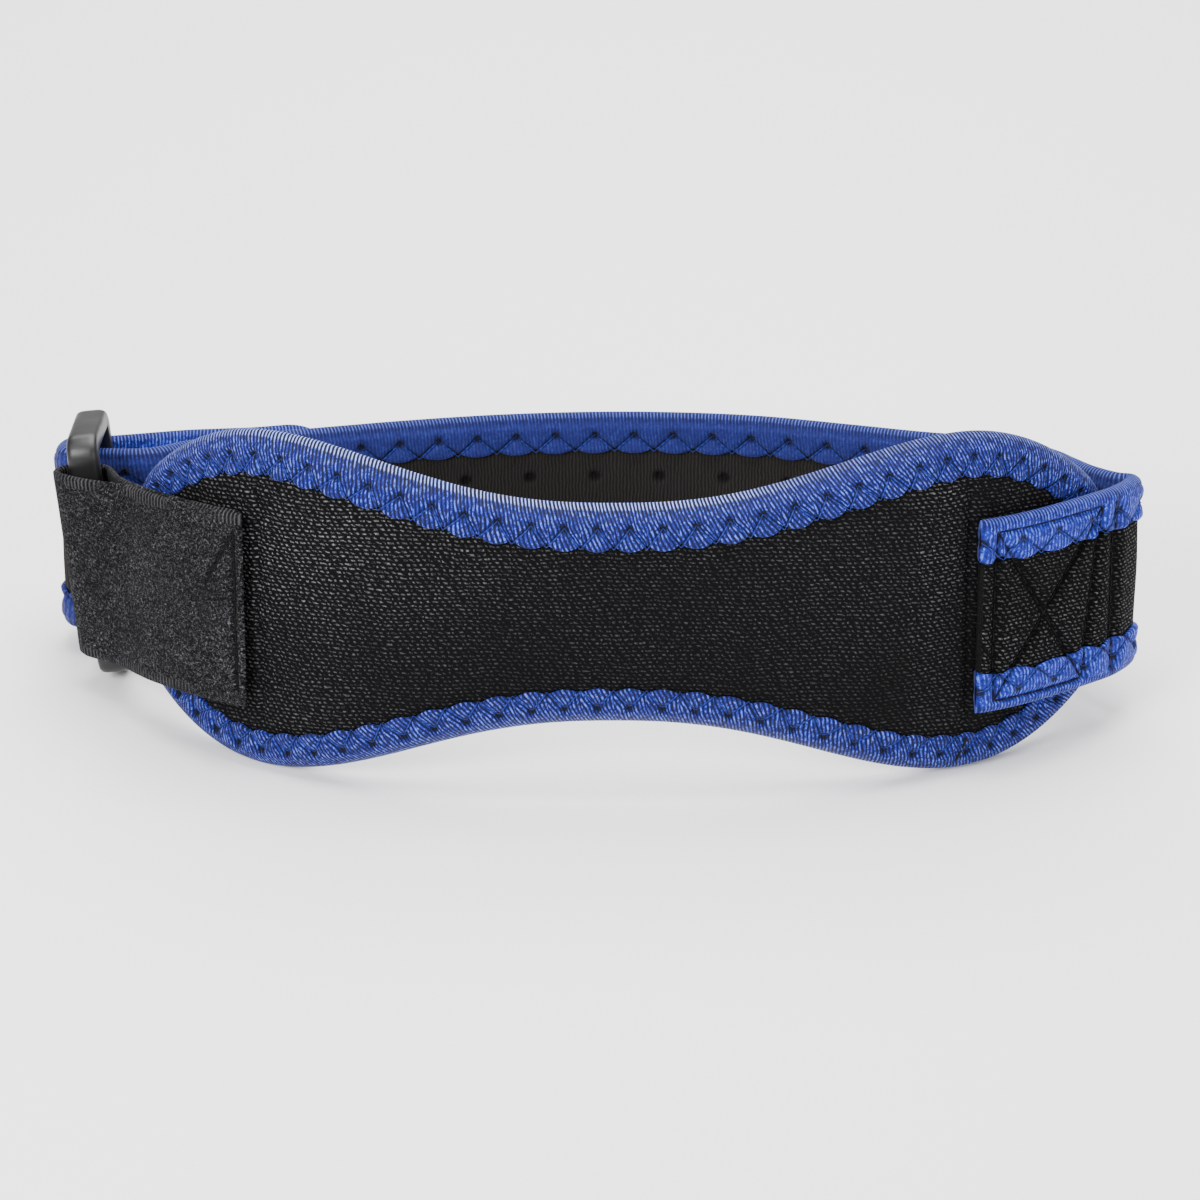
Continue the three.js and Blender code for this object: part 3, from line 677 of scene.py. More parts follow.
def make_pad_cover(material):
    """The knit cover: rows across the pad, short of its edge, over the front and back under it."""
    columns, across = 330, 96
    along = (PAD_HALF - COVER_SHORT) * np.linspace(-1, 1, columns)
    lean = np.hypot(1, np.gradient(outline_half(along), along))
    quarter = pad_quarter()
    order = np.argsort(quarter[:, 0])
    half = np.interp(np.abs(along), quarter[order, 0], quarter[order, 1]) - COVER_SHORT * lean
    up = half[:, None] * np.linspace(-1, 1, across)[None]
    a = along[:, None] + 0 * up
    front = pad_point(a, up, pad_cover_skin(a, up, True))
    back = pad_point(a, up, -pad_cover_skin(a, up, False))
    flat = np.stack([a, up], -1)
    points, faces = closed_grid(sided(front, back, flat, flat + [0, FAR_FACE]), False)
    piece = make_piece(
        "pad_cover", points[:, :3], faces, points[:, 3:], material, ("pad_body",)
    )


def pad_edge_point(points, inwards, inward, out):
    """A point inward of the pad's outline and out from its middle surface."""
    return pad_point(
        points[..., 0] + inwards[..., 0] * inward, points[..., 1] + inwards[..., 1] * inward, out
    )


def pad_thread_surface(front):
    """The taped edge's front or back, as a surface that the zigzag's thread lies on."""
    ends = np.append(EDGE_RUN, PAD_TAPE_LENGTH)
    ring = np.vstack([EDGE_POINTS, EDGE_POINTS[:1]])
    ring_in = np.vstack([EDGE_INWARDS, EDGE_INWARDS[:1]])

    def surface(runs, inward, lift):
        wanted = np.mod(runs, PAD_TAPE_LENGTH)
        points = np.stack([np.interp(wanted, ends, ring[:, i]) for i in (0, 1)], -1)
        inwards = np.stack([np.interp(wanted, ends, ring_in[:, i]) for i in (0, 1)], -1)
        depth = pad_tape_depth(runs, inward)
        over = lift + PAD_THREAD_LIFT
        if front:
            out = pad_front(inward, points[..., 0]) - depth + over
        else:
            out = -(pad_back(inward) - BACK_RELIEF * depth + over)
        return pad_edge_point(points, inwards, inward, out)

    return surface


def make_pad_edging(material, thread_material):
    """Tape folded over the pad's edge: front face, roll, back face, then the hidden inside."""
    run = EDGE_RUN[:, None]
    along = EDGE_POINTS[:, :1]
    edge = scalloped(EDGE_RUN, PAD_TAPE_PITCH, PAD_BINDING_WIDTH)[:, None]
    face = np.linspace(1, 0, 16)[None, :-1]
    turn = np.linspace(np.pi / 2, -np.pi / 2, 15)[None]
    front_in = mix(ROLL_RADIUS, edge, face)
    roll_in = ROLL_RADIUS * (1 - np.cos(turn)) + 0 * edge
    back_in = mix(ROLL_RADIUS, edge, face[:, ::-1])
    front = pad_front(front_in, along) - pad_tape_depth(run, front_in)
    front[:, 0] -= LIP_DROP
    rise = puff(along) * CROWN_RISE * (1 - np.exp(-roll_in / SHOULDER_RUN))
    rolled = ROLL_RADIUS * np.sin(turn) + np.where(np.sin(turn) > 0, rise * np.sin(turn) ** 2, 0)
    back = -(pad_back(back_in) - BACK_RELIEF * pad_tape_depth(run, back_in))
    back[:, -1] += BACK_LIP_DROP
    # the inside runs from the back lip through the fold to the front lip, a tape's thickness down
    half_in = edge * 0.6
    inside_in = np.concatenate([edge - 0.2, half_in, 0 * edge + 1.2, half_in, edge - 0.2], 1)
    inside = np.concatenate(
        [
            TAPE_THICKNESS - pad_back(edge),
            TAPE_THICKNESS - pad_back(half_in),
            0 * edge,
            pad_front(half_in, along) - TAPE_THICKNESS - 0.2,
            pad_front(edge, along) - TAPE_THICKNESS - 0.2,
        ],
        1,
    )
    inward = np.concatenate([front_in, roll_in, back_in, inside_in], 1)
    out = np.concatenate([front, rolled, back, inside], 1)
    grid = pad_edge_point(EDGE_POINTS[:, None], EDGE_INWARDS[:, None], inward, out)
    flat = np.stack([run + 0 * inward, inward], -1)
    columns, faces = closed_grid(np.concatenate([grid, flat], -1), True)
    piece = make_piece(
        "pad_edging", columns[:, :3], faces, columns[:, 3:], material, ("pad_binding",)
    )
    for name, front_side in (("front", True), ("back", False)):
        paths, normals = zigzag_threads(
            PAD_TAPE_LENGTH,
            PAD_TAPE_PITCH,
            ZIGZAG_HOLE_IN,
            PAD_BINDING_WIDTH - EDGE_STITCH_IN,
            pad_thread_surface(front_side),
        )
        points, faces, flat = tubes(paths, normals, THREAD_RADIUS)
        make_piece(f"pad_zigzag_{name}", points, faces, flat, thread_material)


SEAM_END_UP = LOBE_HEIGHT / 2 - PAD_BINDING_WIDTH
PAD_SEAM_ENDS = (((SEAM_AT, -SEAM_END_UP), (SEAM_AT - 2.4, -SEAM_END_UP - 6.4)),)


def pad_skin(along, up, lift):
    """The tape's front face on the pad, where the cross seam's thread end is drawn over it."""
    out = pad_front(distance_in(along, up), along) + LOOSE_THREAD_LIFT
    return pad_point(along, up, out + lift)


# ---- Pieces of the strap ----
BOX_LEFT, BOX_RIGHT_UPPER, BOX_RIGHT_LOWER = 3.6, 33.0, 28.0  # along the strap from its sewn end
BOX_UP = STRAP_HEIGHT / 2 - 2.8
CROSS_SEAM = 37.5
STRAP_SEAMS = (
    ((BOX_LEFT, BOX_UP), (BOX_RIGHT_UPPER, BOX_UP)),
    ((BOX_LEFT, -BOX_UP), (BOX_RIGHT_LOWER, -BOX_UP)),
    ((BOX_LEFT, BOX_UP), (BOX_LEFT, -BOX_UP)),
    ((BOX_RIGHT_UPPER, BOX_UP), (BOX_RIGHT_LOWER, -BOX_UP)),
    ((BOX_LEFT, BOX_UP), (BOX_RIGHT_LOWER, -BOX_UP)),
    ((BOX_RIGHT_UPPER, BOX_UP), (BOX_LEFT, -BOX_UP)),
    ((CROSS_SEAM, STRAP_HEIGHT / 2 - 0.6), (CROSS_SEAM, -STRAP_HEIGHT / 2 + 0.6)),
)


def distance_to(u, v, start, end):
    """Distance from points to a straight seam, all on the flat cloth."""
    start, end = np.asarray(start), np.asarray(end)
    run = end - start
    share = np.clip(((u - start[0]) * run[0] + (v - start[1]) * run[1]) / (run @ run), 0, 1)
    return np.hypot(u - start[0] - share * run[0], v - start[1] - share * run[1])


def seam_grooves(u, v, seams, depth, width):
    """The deepest of the seams' grooves at each point, each a bell across its seam."""
    total = 0 * u
    for start, end in seams:
        total = np.maximum(total, bell(distance_to(u, v, start, end), width))
    return total * depth


def strap_end_round(run):
    """The thickness runs out in a round at the sewn end and at the tip."""
    near = np.minimum(run, STRAP.length - run)
    return 0.2 + 0.8 * np.sqrt(np.clip(1 - (1 - np.clip(near / 1.6, 0, 1)) ** 2, 0, 1))


def strap_tape_out(run, inward):
    """The taped edge's surface over the strap's middle line: a round edge, then the zigzag's relief."""
    radius = STRAP_HALF_THICKNESS
    round_edge = np.sqrt(np.maximum(radius**2 - np.maximum(radius - inward, 0) ** 2, 0))
    # the box seam presses the zigzag's relief flat at the sewn end
    free = mix(0.4, 1.0, smooth((run - CROSS_SEAM) / 8))
    edge_in = STRAP_BINDING_WIDTH - EDGE_STITCH_IN
    relief = zigzag_depth(run, inward, STRAP_ZIGZAG_PITCH, STRAP_HOLE_IN, edge_in)
    return (round_edge - free * relief) * strap_end_round(run)


def strap_band_out(run, up, outer):
    """The cloth's surface over the middle line: thin under the tapes, full between them, and uneven."""
    half = STRAP_HEIGHT / 2
    free = half - STRAP_BINDING_WIDTH
    swell = smooth((free + 0.8 - np.abs(up)) / 1.6)
    out = mix(STRAP_EDGE_THICKNESS / 2, STRAP_THICKNESS / 2, swell)
    wander = STRAP_OUTER_WANDER if outer else STRAP_INNER_WANDER
    out = out + fine_wave(run, up, *wander) * swell
    return out * strap_end_round(run)


def strap_grooves(run, up, width):
    """How deep a point lies in the box seam's grooves or in the cross seam's broader one, 0 to 1."""
    broad = CROSS_SEAM_BREADTH * width
    box = seam_grooves(run, up, STRAP_SEAMS[:-1], 1.0, width)
    return np.maximum(box, seam_grooves(run, up, STRAP_SEAMS[-1:], 1.0, broad))


def pressed(run, up):
    """How far the box and cross seams press the sewn end's outer face in, with pillows between."""
    groove = strap_grooves(run, up, PRESS_WIDTH)
    pillow = PILLOW * smooth(run / 3) * smooth((CROSS_SEAM + 6 - run) / 5)
    return PRESS_DEPTH * groove - pillow * (1 - groove)


def make_strap_band(material, inner_material):
    """The strap's cloth between and under its tapes: outer face, then inner face with its pits."""
    run = np.linspace(0.4, STRAP.length - 0.4, int(STRAP.length / BAND_STEP))
    up = (strap_half(run) - BAND_SHORT)[:, None] * np.linspace(-1, 1, 62)[None]
    runs = run[:, None] + 0 * up
    outer = strap_band_out(runs, up, True) - pressed(runs, up)
    pits = pit_depth(runs, up)
    inner = strap_band_out(runs, up, False) - pits
    height = up + strap_drop(runs)
    front = strap_point(runs, height, np.maximum(outer, BAND_LEAST))
    back = strap_point(runs, height, -np.maximum(inner, BAND_LEAST))
    # the last value is where the finishes paint shade: along the seams' grooves outside, in the dimples
    # inside
    flat = np.stack([runs, up, 0 * up, strap_grooves(runs, up, SEAM_SHADE_ON_BAND)], -1)
    dimples = np.stack([runs, up + FAR_FACE, 0 * up, pits / PIT_DEPTH], -1)
    points, faces = closed_grid(sided(front, back, flat, dimples), False)
    piece = make_piece(
        "strap_band", points[:, :3], faces, points[:, 3:], material, ("strap_body",)
    )
    piece.data.materials.append(inner_material)
    inner_face = points[[f[0] for f in faces], 4] > FAR_FACE / 2
    piece.data.polygons.foreach_set("material_index", inner_face.astype(int).tolist())


def pit_depth(run, up):
    """Two rows of soft round dimples in the inner face."""
    sewn = PAD_HALF - SEAM_AT
    start = sewn + CORNER_REACH + PIT_PITCH * 2
    stop = STRAP.length - TAIL_LENGTH - RING_DEPTH * 1.6
    count = math.floor((stop - start) / PIT_PITCH)
    nearest = start + np.clip(np.round((run - start) / PIT_PITCH), 0, count) * PIT_PITCH
    off = np.hypot(run - nearest, np.abs(up) - PIT_ROW_SPACING / 2)
    return PIT_DEPTH * smooth((PIT_RADIUS + 0.55 - off) / 0.9)


def strap_thread_surface(side, sign):
    """The upper or lower taped edge, outer (1) or inner (-1), as a surface that the thread lies on."""

    def surface(runs, inward, lift):
        up = side * (strap_half(runs) - inward)
        out = strap_tape_out(runs, inward) + lift + STRAP_THREAD_LIFT
        if sign > 0:
            out = out - pressed(runs, up)
        return strap_point(runs, up + strap_drop(runs), sign * out)

    return surface


def make_strap_edging(side, material, thread_material):
    """Tape folded over the strap's upper (1) or lower (-1) edge, from the sewn end to the tip."""
    run = np.linspace(0, STRAP.length, int(STRAP.length / TAPE_RUN_STEP))
    edge = scalloped(run, STRAP_ZIGZAG_PITCH, STRAP_BINDING_WIDTH)[:, None]
    half = strap_half(run)[:, None]
    radius = STRAP_HALF_THICKNESS
    face = np.linspace(1, 0, 14)[None, :-1]
    turn = np.linspace(np.pi / 2, -np.pi / 2, 13)[None]
    face_in = mix(radius, edge, face)
    roll_in = radius * (1 - np.cos(turn)) + 0 * edge
    back_in = face_in[:, ::-1]
    inside_in = np.concatenate([edge - 0.2, 0 * edge + 1.4, edge - 0.2], 1)
    inward = np.concatenate([face_in, roll_in, back_in, inside_in], 1)
    runs = run[:, None] + 0 * inward
    up = side * (half - inward)
    columns = face_in.shape[1]
    faced, ends = runs[:, :columns], strap_end_round(run)[:, None]
    outer = strap_tape_out(faced, face_in) - pressed(faced, up[:, :columns])
    outer[:, 0] -= LIP_DROP
    inner = -strap_tape_out(faced, back_in)
    inner[:, -1] += LIP_DROP
    thin = (radius - TAPE_THICKNESS) * ends
    thin = thin - 0.5 * pressed(runs[:, :1], side * (half - edge)).clip(0)
    inside = np.concatenate([-thin, 0 * edge, thin * 0.6], 1)
    out = np.concatenate([outer, radius * np.sin(turn) * ends, inner, inside], 1)
    grid = strap_point(runs, up + strap_drop(runs), out)
    # to_leg marks the tape's side to the leg, which the tape's finish paints in shade
    rolled_to_leg = smooth((1 - np.sin(turn)) / 1.2) + 0 * edge
    to_leg = np.concatenate([0 * face_in, rolled_to_leg, 0 * back_in + 1, 0 * inside_in], 1)
    # where the tape is painted in shade along the seams' grooves, on its outer side
    seam = strap_grooves(runs, up, SEAM_SHADE_ON_TAPE)
    flat = np.stack([runs, inward, to_leg, seam * (1 - to_leg)], -1)
    points, faces = closed_grid(np.concatenate([grid, flat], -1), False)
    name = "upper" if side > 0 else "lower"
    piece = make_piece(
        f"strap_edging_{name}",
        points[:, :3],
        faces,
        points[:, 3:],
        material,
        (f"strap_binding_{name}",),
    )
    for face_name, sign in (("outer", 1), ("inner", -1)):
        paths, normals = zigzag_threads(
            STRAP.length - 2,
            STRAP_ZIGZAG_PITCH,
            STRAP_HOLE_IN,
            STRAP_BINDING_WIDTH - EDGE_STITCH_IN,
            strap_thread_surface(side, sign),
        )
        points, faces, flat = tubes(paths, normals, THREAD_RADIUS)
        thread_name = f"strap_zigzag_{name}_{face_name}"
        make_piece(thread_name, points, faces, flat, thread_material)


def strap_skin(run, up, lift):
    """The sewn end's outer surface, tape or cloth, whichever lies there."""
    inward = STRAP_HEIGHT / 2 - np.abs(up)
    taped = smooth((STRAP_BINDING_WIDTH + 0.2 - inward) / 0.5)
    out = mix(strap_band_out(run, up, True), strap_tape_out(run, inward), taped)
    return strap_point(run, up + strap_drop(run), out - pressed(run, up) + lift)


def stitched_seams(seams, surface):
    """Thread along straight seams on the flat cloth, stitch by stitch, each a low arch."""
    share = np.linspace(0, 1, THREAD_STEPS)
    lift = SEAM_ARCH * np.sin(np.pi * share) - SEAM_SUNK
    paths, normals = [], []
    for start, end in seams:
        start, end = np.asarray(start), np.asarray(end)
        length = np.linalg.norm(end - start)
        count = max(1, round(length / (SEAM_STITCH + SEAM_STITCH_GAP)))
        pitch = length / count
        begun = np.arange(count)[:, None] * pitch + SEAM_STITCH_GAP / 2
        run = begun + share * (pitch - SEAM_STITCH_GAP)
        at = start + (end - start) * (run / length)[..., None]
        path, normal = on_surface(surface, at[..., 0], at[..., 1], lift)
        paths.append(path)
        normals.append(normal)
    return np.vstack(paths), np.vstack(normals)


def make_seam(name, seams, surface, material, radius=SEAM_THREAD_RADIUS):
    """One piece of thread for all of a seam's straight runs."""
    paths, normals = stitched_seams(seams, surface)
    points, faces, flat = tubes(paths, normals, radius)
    make_piece(name, points, faces, flat, material)


# ---- The tab, ring and hook patch ----
def tab_path():
    """The tab's middle line: its outer layer to the ring, round the near bar, and its inner layer back.
    The turn's points are shares of the clearances round the bar."""
    half = TAB_THICKNESS / 2

    def layer(level, shares):
        along = -mix(SEAM_AT + TAB_FROM_SEAM, PAD_HALF - ROLL_RADIUS, np.array(shares))
        lift = 2.6 * GAP + half + level * (TAB_THICKNESS + GAP)
        return pad_point(along, 0, pad_front(PAD_HALF + along, along) + lift)[:, :2]

    clear_y = BAR_WIDTH / 2 + RING_PLAY + half
    clear_x = RING_THICKNESS / 2 + RING_PLAY + half
    turn = np.array(
        [(-0.35, -1.55), (-1.05, -0.75), (-1.25, 0.1), (-0.85, 0.9), (0, 1.1), (0.85, 0.9), (1.2, 0)]
    )
    outer = layer(1, [0, 0.25, 0.5, 0.75, 0.92])
    inner = layer(0, [0.92, 0.75, 0.5, 0.25, 0.06])
    return Path(np.vstack([outer, NEAR_BAR + turn * [clear_x, clear_y], inner]))


TAB = tab_path()
TAB_SEAM_END, TAB_SEAM_FAR = 2.2, 25.0
TAB_SEAM_UP = TAB_HEIGHT / 2 - 4.5
TAB_SEAMS = (
    ((TAB_SEAM_END, TAB_SEAM_UP), (TAB_SEAM_END, -TAB_SEAM_UP)),
    ((TAB_SEAM_FAR, TAB_SEAM_UP), (TAB_SEAM_FAR, -TAB_SEAM_UP)),
    ((TAB_SEAM_END, TAB_SEAM_UP), (TAB_SEAM_FAR, TAB_SEAM_UP)),
    ((TAB_SEAM_END, -TAB_SEAM_UP), (TAB_SEAM_FAR, -TAB_SEAM_UP)),
    ((TAB_SEAM_END, TAB_SEAM_UP), (TAB_SEAM_FAR, -TAB_SEAM_UP)),
    ((TAB_SEAM_END, -TAB_SEAM_UP), (TAB_SEAM_FAR, TAB_SEAM_UP)),
)
# the pile has grown over the others' thread
TAB_SEAMS_IN_SIGHT = (
    TAB_SEAMS[0],
    ((TAB_SEAM_END, TAB_SEAM_UP), (mix(TAB_SEAM_END, TAB_SEAM_FAR, 0.36), TAB_SEAM_UP * 0.28)),
)
# depth and width of the seams' grooves in the tape, and of the painted shade along them
GROWN_OVER, IN_SIGHT = (0.2, 0.9), (0.5, 0.7)
GROWN_OVER_SHADE, IN_SIGHT_SHADE = (0.3, 0.45), (0.75, 0.6)


def tab_point(run, up, out):
    """A point of the tab, out to its front: near the ring's bar it leans and tips as the ring does."""
    x, y = TAB.at(run)
    reach = np.hypot(*(PAD_LEFT_END - NEAR_BAR))
    share = smooth(1.6 - np.hypot(x - NEAR_BAR[0], y - NEAR_BAR[1]) / reach)
    point = TAB.point(run, up - TAB_DROP, -out)
    point[..., 0] -= LEAN_SLOPE * share * up
    point[..., 1] -= TIP_SLOPE * share * up
    return point


def tab_out(run, up, outer):
    """Half the tab's thickness, rounded off at its edges. Outside, it is grooved by seams and uneven."""
    half = TAB_THICKNESS / 2
    near = np.minimum(run, TAB.length - run)
    edge = np.minimum(near, TAB_HEIGHT / 2 - np.abs(up))
    rounded = 0.25 + 0.75 * np.sqrt(np.clip(1 - (1 - np.clip(edge / 0.9, 0, 1)) ** 2, 0, 1))
    if not outer:
        return half * rounded
    overgrown = seam_grooves(run, up, TAB_SEAMS, *GROWN_OVER)
    in_sight = seam_grooves(run, up, TAB_SEAMS_IN_SIGHT, *IN_SIGHT)
    return half * rounded - overgrown - in_sight + fine_wave(run, up, *TAB_WANDER)


def tab_skin(run, up, lift):
    """The tab's outer surface, where its seams' thread lies."""
    return tab_point(run, up, tab_out(run, up, True) + lift)


def make_tab(material):
    """Loop tape: outer face, then inner face, along the fold round the ring."""
    run = np.linspace(0, TAB.length, int(TAB.length / TAB_STEP))[:, None]
    ups = (TAB_HEIGHT / 2) * np.linspace(-1, 1, 84)[None] + 0 * run
    runs = run + 0 * ups
    front = tab_point(runs, ups, tab_out(runs, ups, True))
    back = tab_point(runs, ups, -tab_out(runs, ups, False))
    # where the pile is painted in shade along the seams' grooves
    overgrown = seam_grooves(runs, ups, TAB_SEAMS, *GROWN_OVER_SHADE)
    in_sight = seam_grooves(runs, ups, TAB_SEAMS_IN_SIGHT, *IN_SIGHT_SHADE)
    flat = np.stack([runs, ups, 0 * ups, np.maximum(overgrown, in_sight)], -1)
    points, faces = closed_grid(sided(front, back, flat, flat * [1, 1, 1, 0]), False)
    piece = make_piece(
        "loop_tab", points[:, :3], faces, points[:, 3:], material, ("ring_tab",)
    )


def squared(value):
    """A sine or cosine swollen towards a square's: its root, with its sign."""
    return np.sign(value) * np.abs(value) ** 0.5


def turned(first, second, angle):
    """Two coordinates turned from the first towards the second."""
    cos, sin = math.cos(angle), math.sin(angle)
    return first * cos - second * sin, first * sin + second * cos


def make_ring(material):
    """A rounded rectangle swept with a soft-cornered section, then leaned and tipped like the solid."""
    width, height = RING_DEPTH - BAR_WIDTH, RING_HEIGHT - END_BAR_WIDTH
    radius = RING_CORNER_RADIUS - BAR_WIDTH / 2
    path, outwards = [], []
    for sx, sz, start in ((1, 1, 0), (-1, 1, 90), (-1, -1, 180), (1, -1, 270)):
        turn = np.radians(start + np.linspace(0, 90, 12))
        away = np.stack([np.cos(turn), np.sin(turn)], 1)
        path.append([sx * (width / 2 - radius), sz * (height / 2 - radius)] + radius * away)
        outwards.append(away)
    path, outwards = np.vstack(path), np.vstack(outwards)
    half_bar = mix(END_BAR_WIDTH, BAR_WIDTH, np.abs(outwards[:, :1])) / 2
    turn = np.linspace(0, 2 * np.pi, 28, endpoint=False)[None]
    across = half_bar * squared(np.cos(turn))
    thick = RING_THICKNESS / 2 * squared(np.sin(turn)) + 0 * across
    y = path[:, :1] + outwards[:, :1] * across
    x, z = turned(thick, path[:, 1:] + outwards[:, 1:] * across, RING_LEAN)
    y, z = turned(y, z, RING_TIP)
    grid = np.stack([x + RING_MIDDLE[0], y + RING_MIDDLE[1], z + RING_RISE], -1)
    flat = np.stack([y, z], -1)
    points, faces = closed_grid(np.concatenate([grid, flat], -1), True)
    make_piece(
        "ring_frame", points[:, :3], faces, points[:, 3:], material, ("ring",)
    )


def make_patch(material):
    """The hook patch under the tail: a thin pad whose face is set with rows of hooks."""
    run = (STRAP.length - TAIL_CORNER_RUN - np.linspace(0, PATCH_LENGTH, 80))[:, None]
    ups = PATCH_HEIGHT / 2 * np.linspace(-1, 1, 60)[None] + 0 * run
    runs = run + 0 * ups
    away = STRAP_THICKNESS / 2 + GAP
    from_end = np.minimum(np.abs(runs - run[0]), np.abs(runs - run[-1]))
    edge = np.minimum(PATCH_HEIGHT / 2 - np.abs(ups), from_end)
    thick = PATCH_THICKNESS * (0.5 + 0.4 * smooth(edge / 0.8))
    wave = 2 * math.pi / HOOK_SPACING
    hooks = HOOK_HEIGHT * np.sin(runs * wave) * np.sin(ups * wave) * smooth(edge / 1.5)
    front = strap_point(runs, ups, away + thick + hooks)
    back = strap_point(runs, ups, away + 0 * thick)
    flat = np.stack([runs, ups], -1)
    points, faces = closed_grid(sided(front, back, flat, flat), False)
    make_piece(
        "hook_strip", points[:, :3], faces, points[:, 3:], material, ("hook_patch",)
    )


# ---- Finishes ----
MM = 0.001
SOFT = {"interpolation_type": "SMOOTHSTEP"}  # a Map Range that eases in and out

# Sizes of the patterns on the flat cloth, in millimetres. Single fibres and threads are too fine to show
# in the render, so each grain is drawn as coarse as it needs to show.
ROW_DRIFT = 20.0  # the knit's rows wander up and down
ROW_RIPPLE = 2.22
LOOP_JITTER = 1.82
LOOP_SPARKLE = 0.77
SHEEN_PATCH = 33.3
LINING_WANDER = 3.33
LINING_GRAIN = 0.455
RIB_WANDER = 6.25
TAPE_GRAIN = 0.87
TAPE_BLOTCH = 3.33
HOLE_FRAY = 0.455
CREASE_FRAY = 0.833
CREASE_BREAK = 4.0
PILE_TANGLE = 1.053
PILE_UNDER = 0.77
PILE_LIGHT = 0.667
PILE_WEAR = 20.0
WOVEN_EDGE_WEAR = 14.3
WOVEN_EDGE_RIB = 1.05
PLASTIC_GRAIN = 0.385
PLASTIC_RUB = 6.25
THREAD_TWIST = 0.698


def colour(text):
    """An sRGB hex colour as linear red, green, blue and alpha."""
    values = [int(text[i : i + 2], 16) / 255 for i in (1, 3, 5)]
    linear = [v / 12.92 if v <= 0.04045 else ((v + 0.055) / 1.055) ** 2.4 for v in values]
    return (*linear, 1.0)


class Finish:
    """A material in the making, with the measures that the mesh keeps at each point: the flat
    millimetres along and across, which side the point is on, and how deep in a groove it lies."""

    def __init__(self, name):
        self.material = bpy.data.materials.new(name)
        self.material.use_nodes = True
        self.material.node_tree.nodes.clear()
        self.flat = self.add("Attribute", attribute_name="flat").outputs["Vector"]
        self.run, self.across, self.side = self.add("SeparateXYZ", self.flat).outputs
        self.groove = self.add("Attribute", attribute_name="groove").outputs["Fac"]

    def add(self, kind, *inputs, **named):
        """Adds a node. Bare inputs go to its live sockets in order, and capitalised ones to the socket
        of that name: each is a constant, a node or an output. Names in lower case are its settings."""
        tree = self.material.node_tree
        made = tree.nodes.new("ShaderNode" + kind)
        fed = []
        for key, value in named.items():
            if key.islower():
                setattr(made, key, value)
            else:
                fed.append((made.inputs[key.replace("_", " ")], value))
        fed.extend(zip([socket for socket in made.inputs if socket.enabled], inputs))
        for socket, value in fed:
            if isinstance(value, bpy.types.Node):
                value = next(output for output in value.outputs if output.enabled)
            if isinstance(value, bpy.types.NodeSocket):
                tree.links.new(value, socket)
            else:
                socket.default_value = value
        return made

    def done(self, **surface):
        """The material, once its shader has what the surface is made of."""
        self.add("OutputMaterial", self.add("BsdfPrincipled", **surface))
        return self.material


def knit(name, ground, loop_highlight, sheen):
    """Warp-knitted polyester: to the eye, rows of short slanted loops that catch the light on a black
    ground. A point's row is its way across over the row's height. Its place in a loop is its way along
    over a dash, shifted from row to row, and a loop is a cosine's top along times a sine's across."""
    m = Finish(name)
    drift = m.add("TexNoise", m.flat, Scale=1 / ROW_DRIFT)
    ripple = m.add("TexNoise", m.flat, Scale=1 / ROW_RIPPLE)
    row_at = m.add("Math", m.across, 1 / KNIT_ROW, operation="MULTIPLY")
    for moved, by in ((drift, 3.0), (ripple, 0.7)):
        row_at = m.add("Math", moved, by, row_at, operation="MULTIPLY_ADD")
    row = m.add("Math", row_at, operation="FLOOR")
    within = m.add("Math", row_at, operation="FRACT")
    loop_at = m.add("Math", m.run, 1 / KNIT_DASH, operation="MULTIPLY")
    jitter = m.add("TexNoise", m.flat, Scale=1 / LOOP_JITTER, Detail=3.0, Roughness=0.6)
    for moved, by in ((row, KNIT_SHIFT), (within, 0.5), (jitter, 2.2)):
        loop_at = m.add("Math", moved, by, loop_at, operation="MULTIPLY_ADD")
    wave = m.add("Math", m.add("Math", loop_at, 2 * math.pi, operation="MULTIPLY"), operation="COSINE")
    body = m.add("Math", m.add("Math", within, math.pi, operation="MULTIPLY"), operation="SINE")
    loops = m.add(
        "Math",
        m.add("MapRange", wave, -0.5, 0.55, **SOFT),
        m.add("MapRange", body, 0.5, 0.95, **SOFT),
        operation="MULTIPLY",
    )
    glints = m.add("TexNoise", m.flat, Scale=1 / LOOP_SPARKLE, Detail=3.0, Roughness=0.75)
    patches = m.add("TexNoise", m.flat, Scale=1 / SHEEN_PATCH)
    # the loops' share of painted highlight: their tops, flecked with glints and patches, less in the
    # seams' grooves where shade is painted, and set by where the light falls on the pad
    share = loops
    for part in (
        m.add("MapRange", glints, 0.38, 0.7, 0.05, 1.0, **SOFT),
        m.add("MapRange", patches, 0.3, 0.7, 0.55, 1.0, **SOFT),
        m.add("MapRange", m.groove, 0.1, 0.9, 1.0, 0.05, **SOFT),
        sheen(m),
    ):
        share = m.add("Math", share, part, operation="MULTIPLY")
    return m.done(
        Base_Color=m.add("Mix", share, colour(ground), colour(loop_highlight), data_type="RGBA"),
        Roughness=m.add("MapRange", loops, 0.0, 1.0, 0.9, 0.6, **SOFT),
        Normal=m.add("Bump", Height=loops, Distance=0.3 * MM, Strength=0.8),
        Specular_IOR_Level=0.06,
    )


def pad_sheen(m):
    """The pad's loops shine most at its left end, its upper edge and beside its right cross seam."""
    # painted highlight, brighter where the padding curves to the lights: its left end, its upper edge
    # and the puckers beside its right cross seam
    left = m.add("MapRange", m.run, -15.0, -72.0, 0.17, 0.45, **SOFT)
    beside_seam = m.add("Math", m.run, SEAM_AT - 7.0, operation="SUBTRACT")
    from_seam = m.add("Math", beside_seam, operation="ABSOLUTE")
    seam = m.add("MapRange", from_seam, 10.0, 2.0, 0.0, 0.2, **SOFT)
    both = m.add("Math", left, seam, operation="ADD")
    upper = m.add("MapRange", m.across, -18.0, 20.0, 0.7, 1.45, **SOFT)
    return m.add("Math", both, upper, operation="MULTIPLY")


def even_sheen(m):
    """The strap's loops shine alike all over."""
    return 1.0


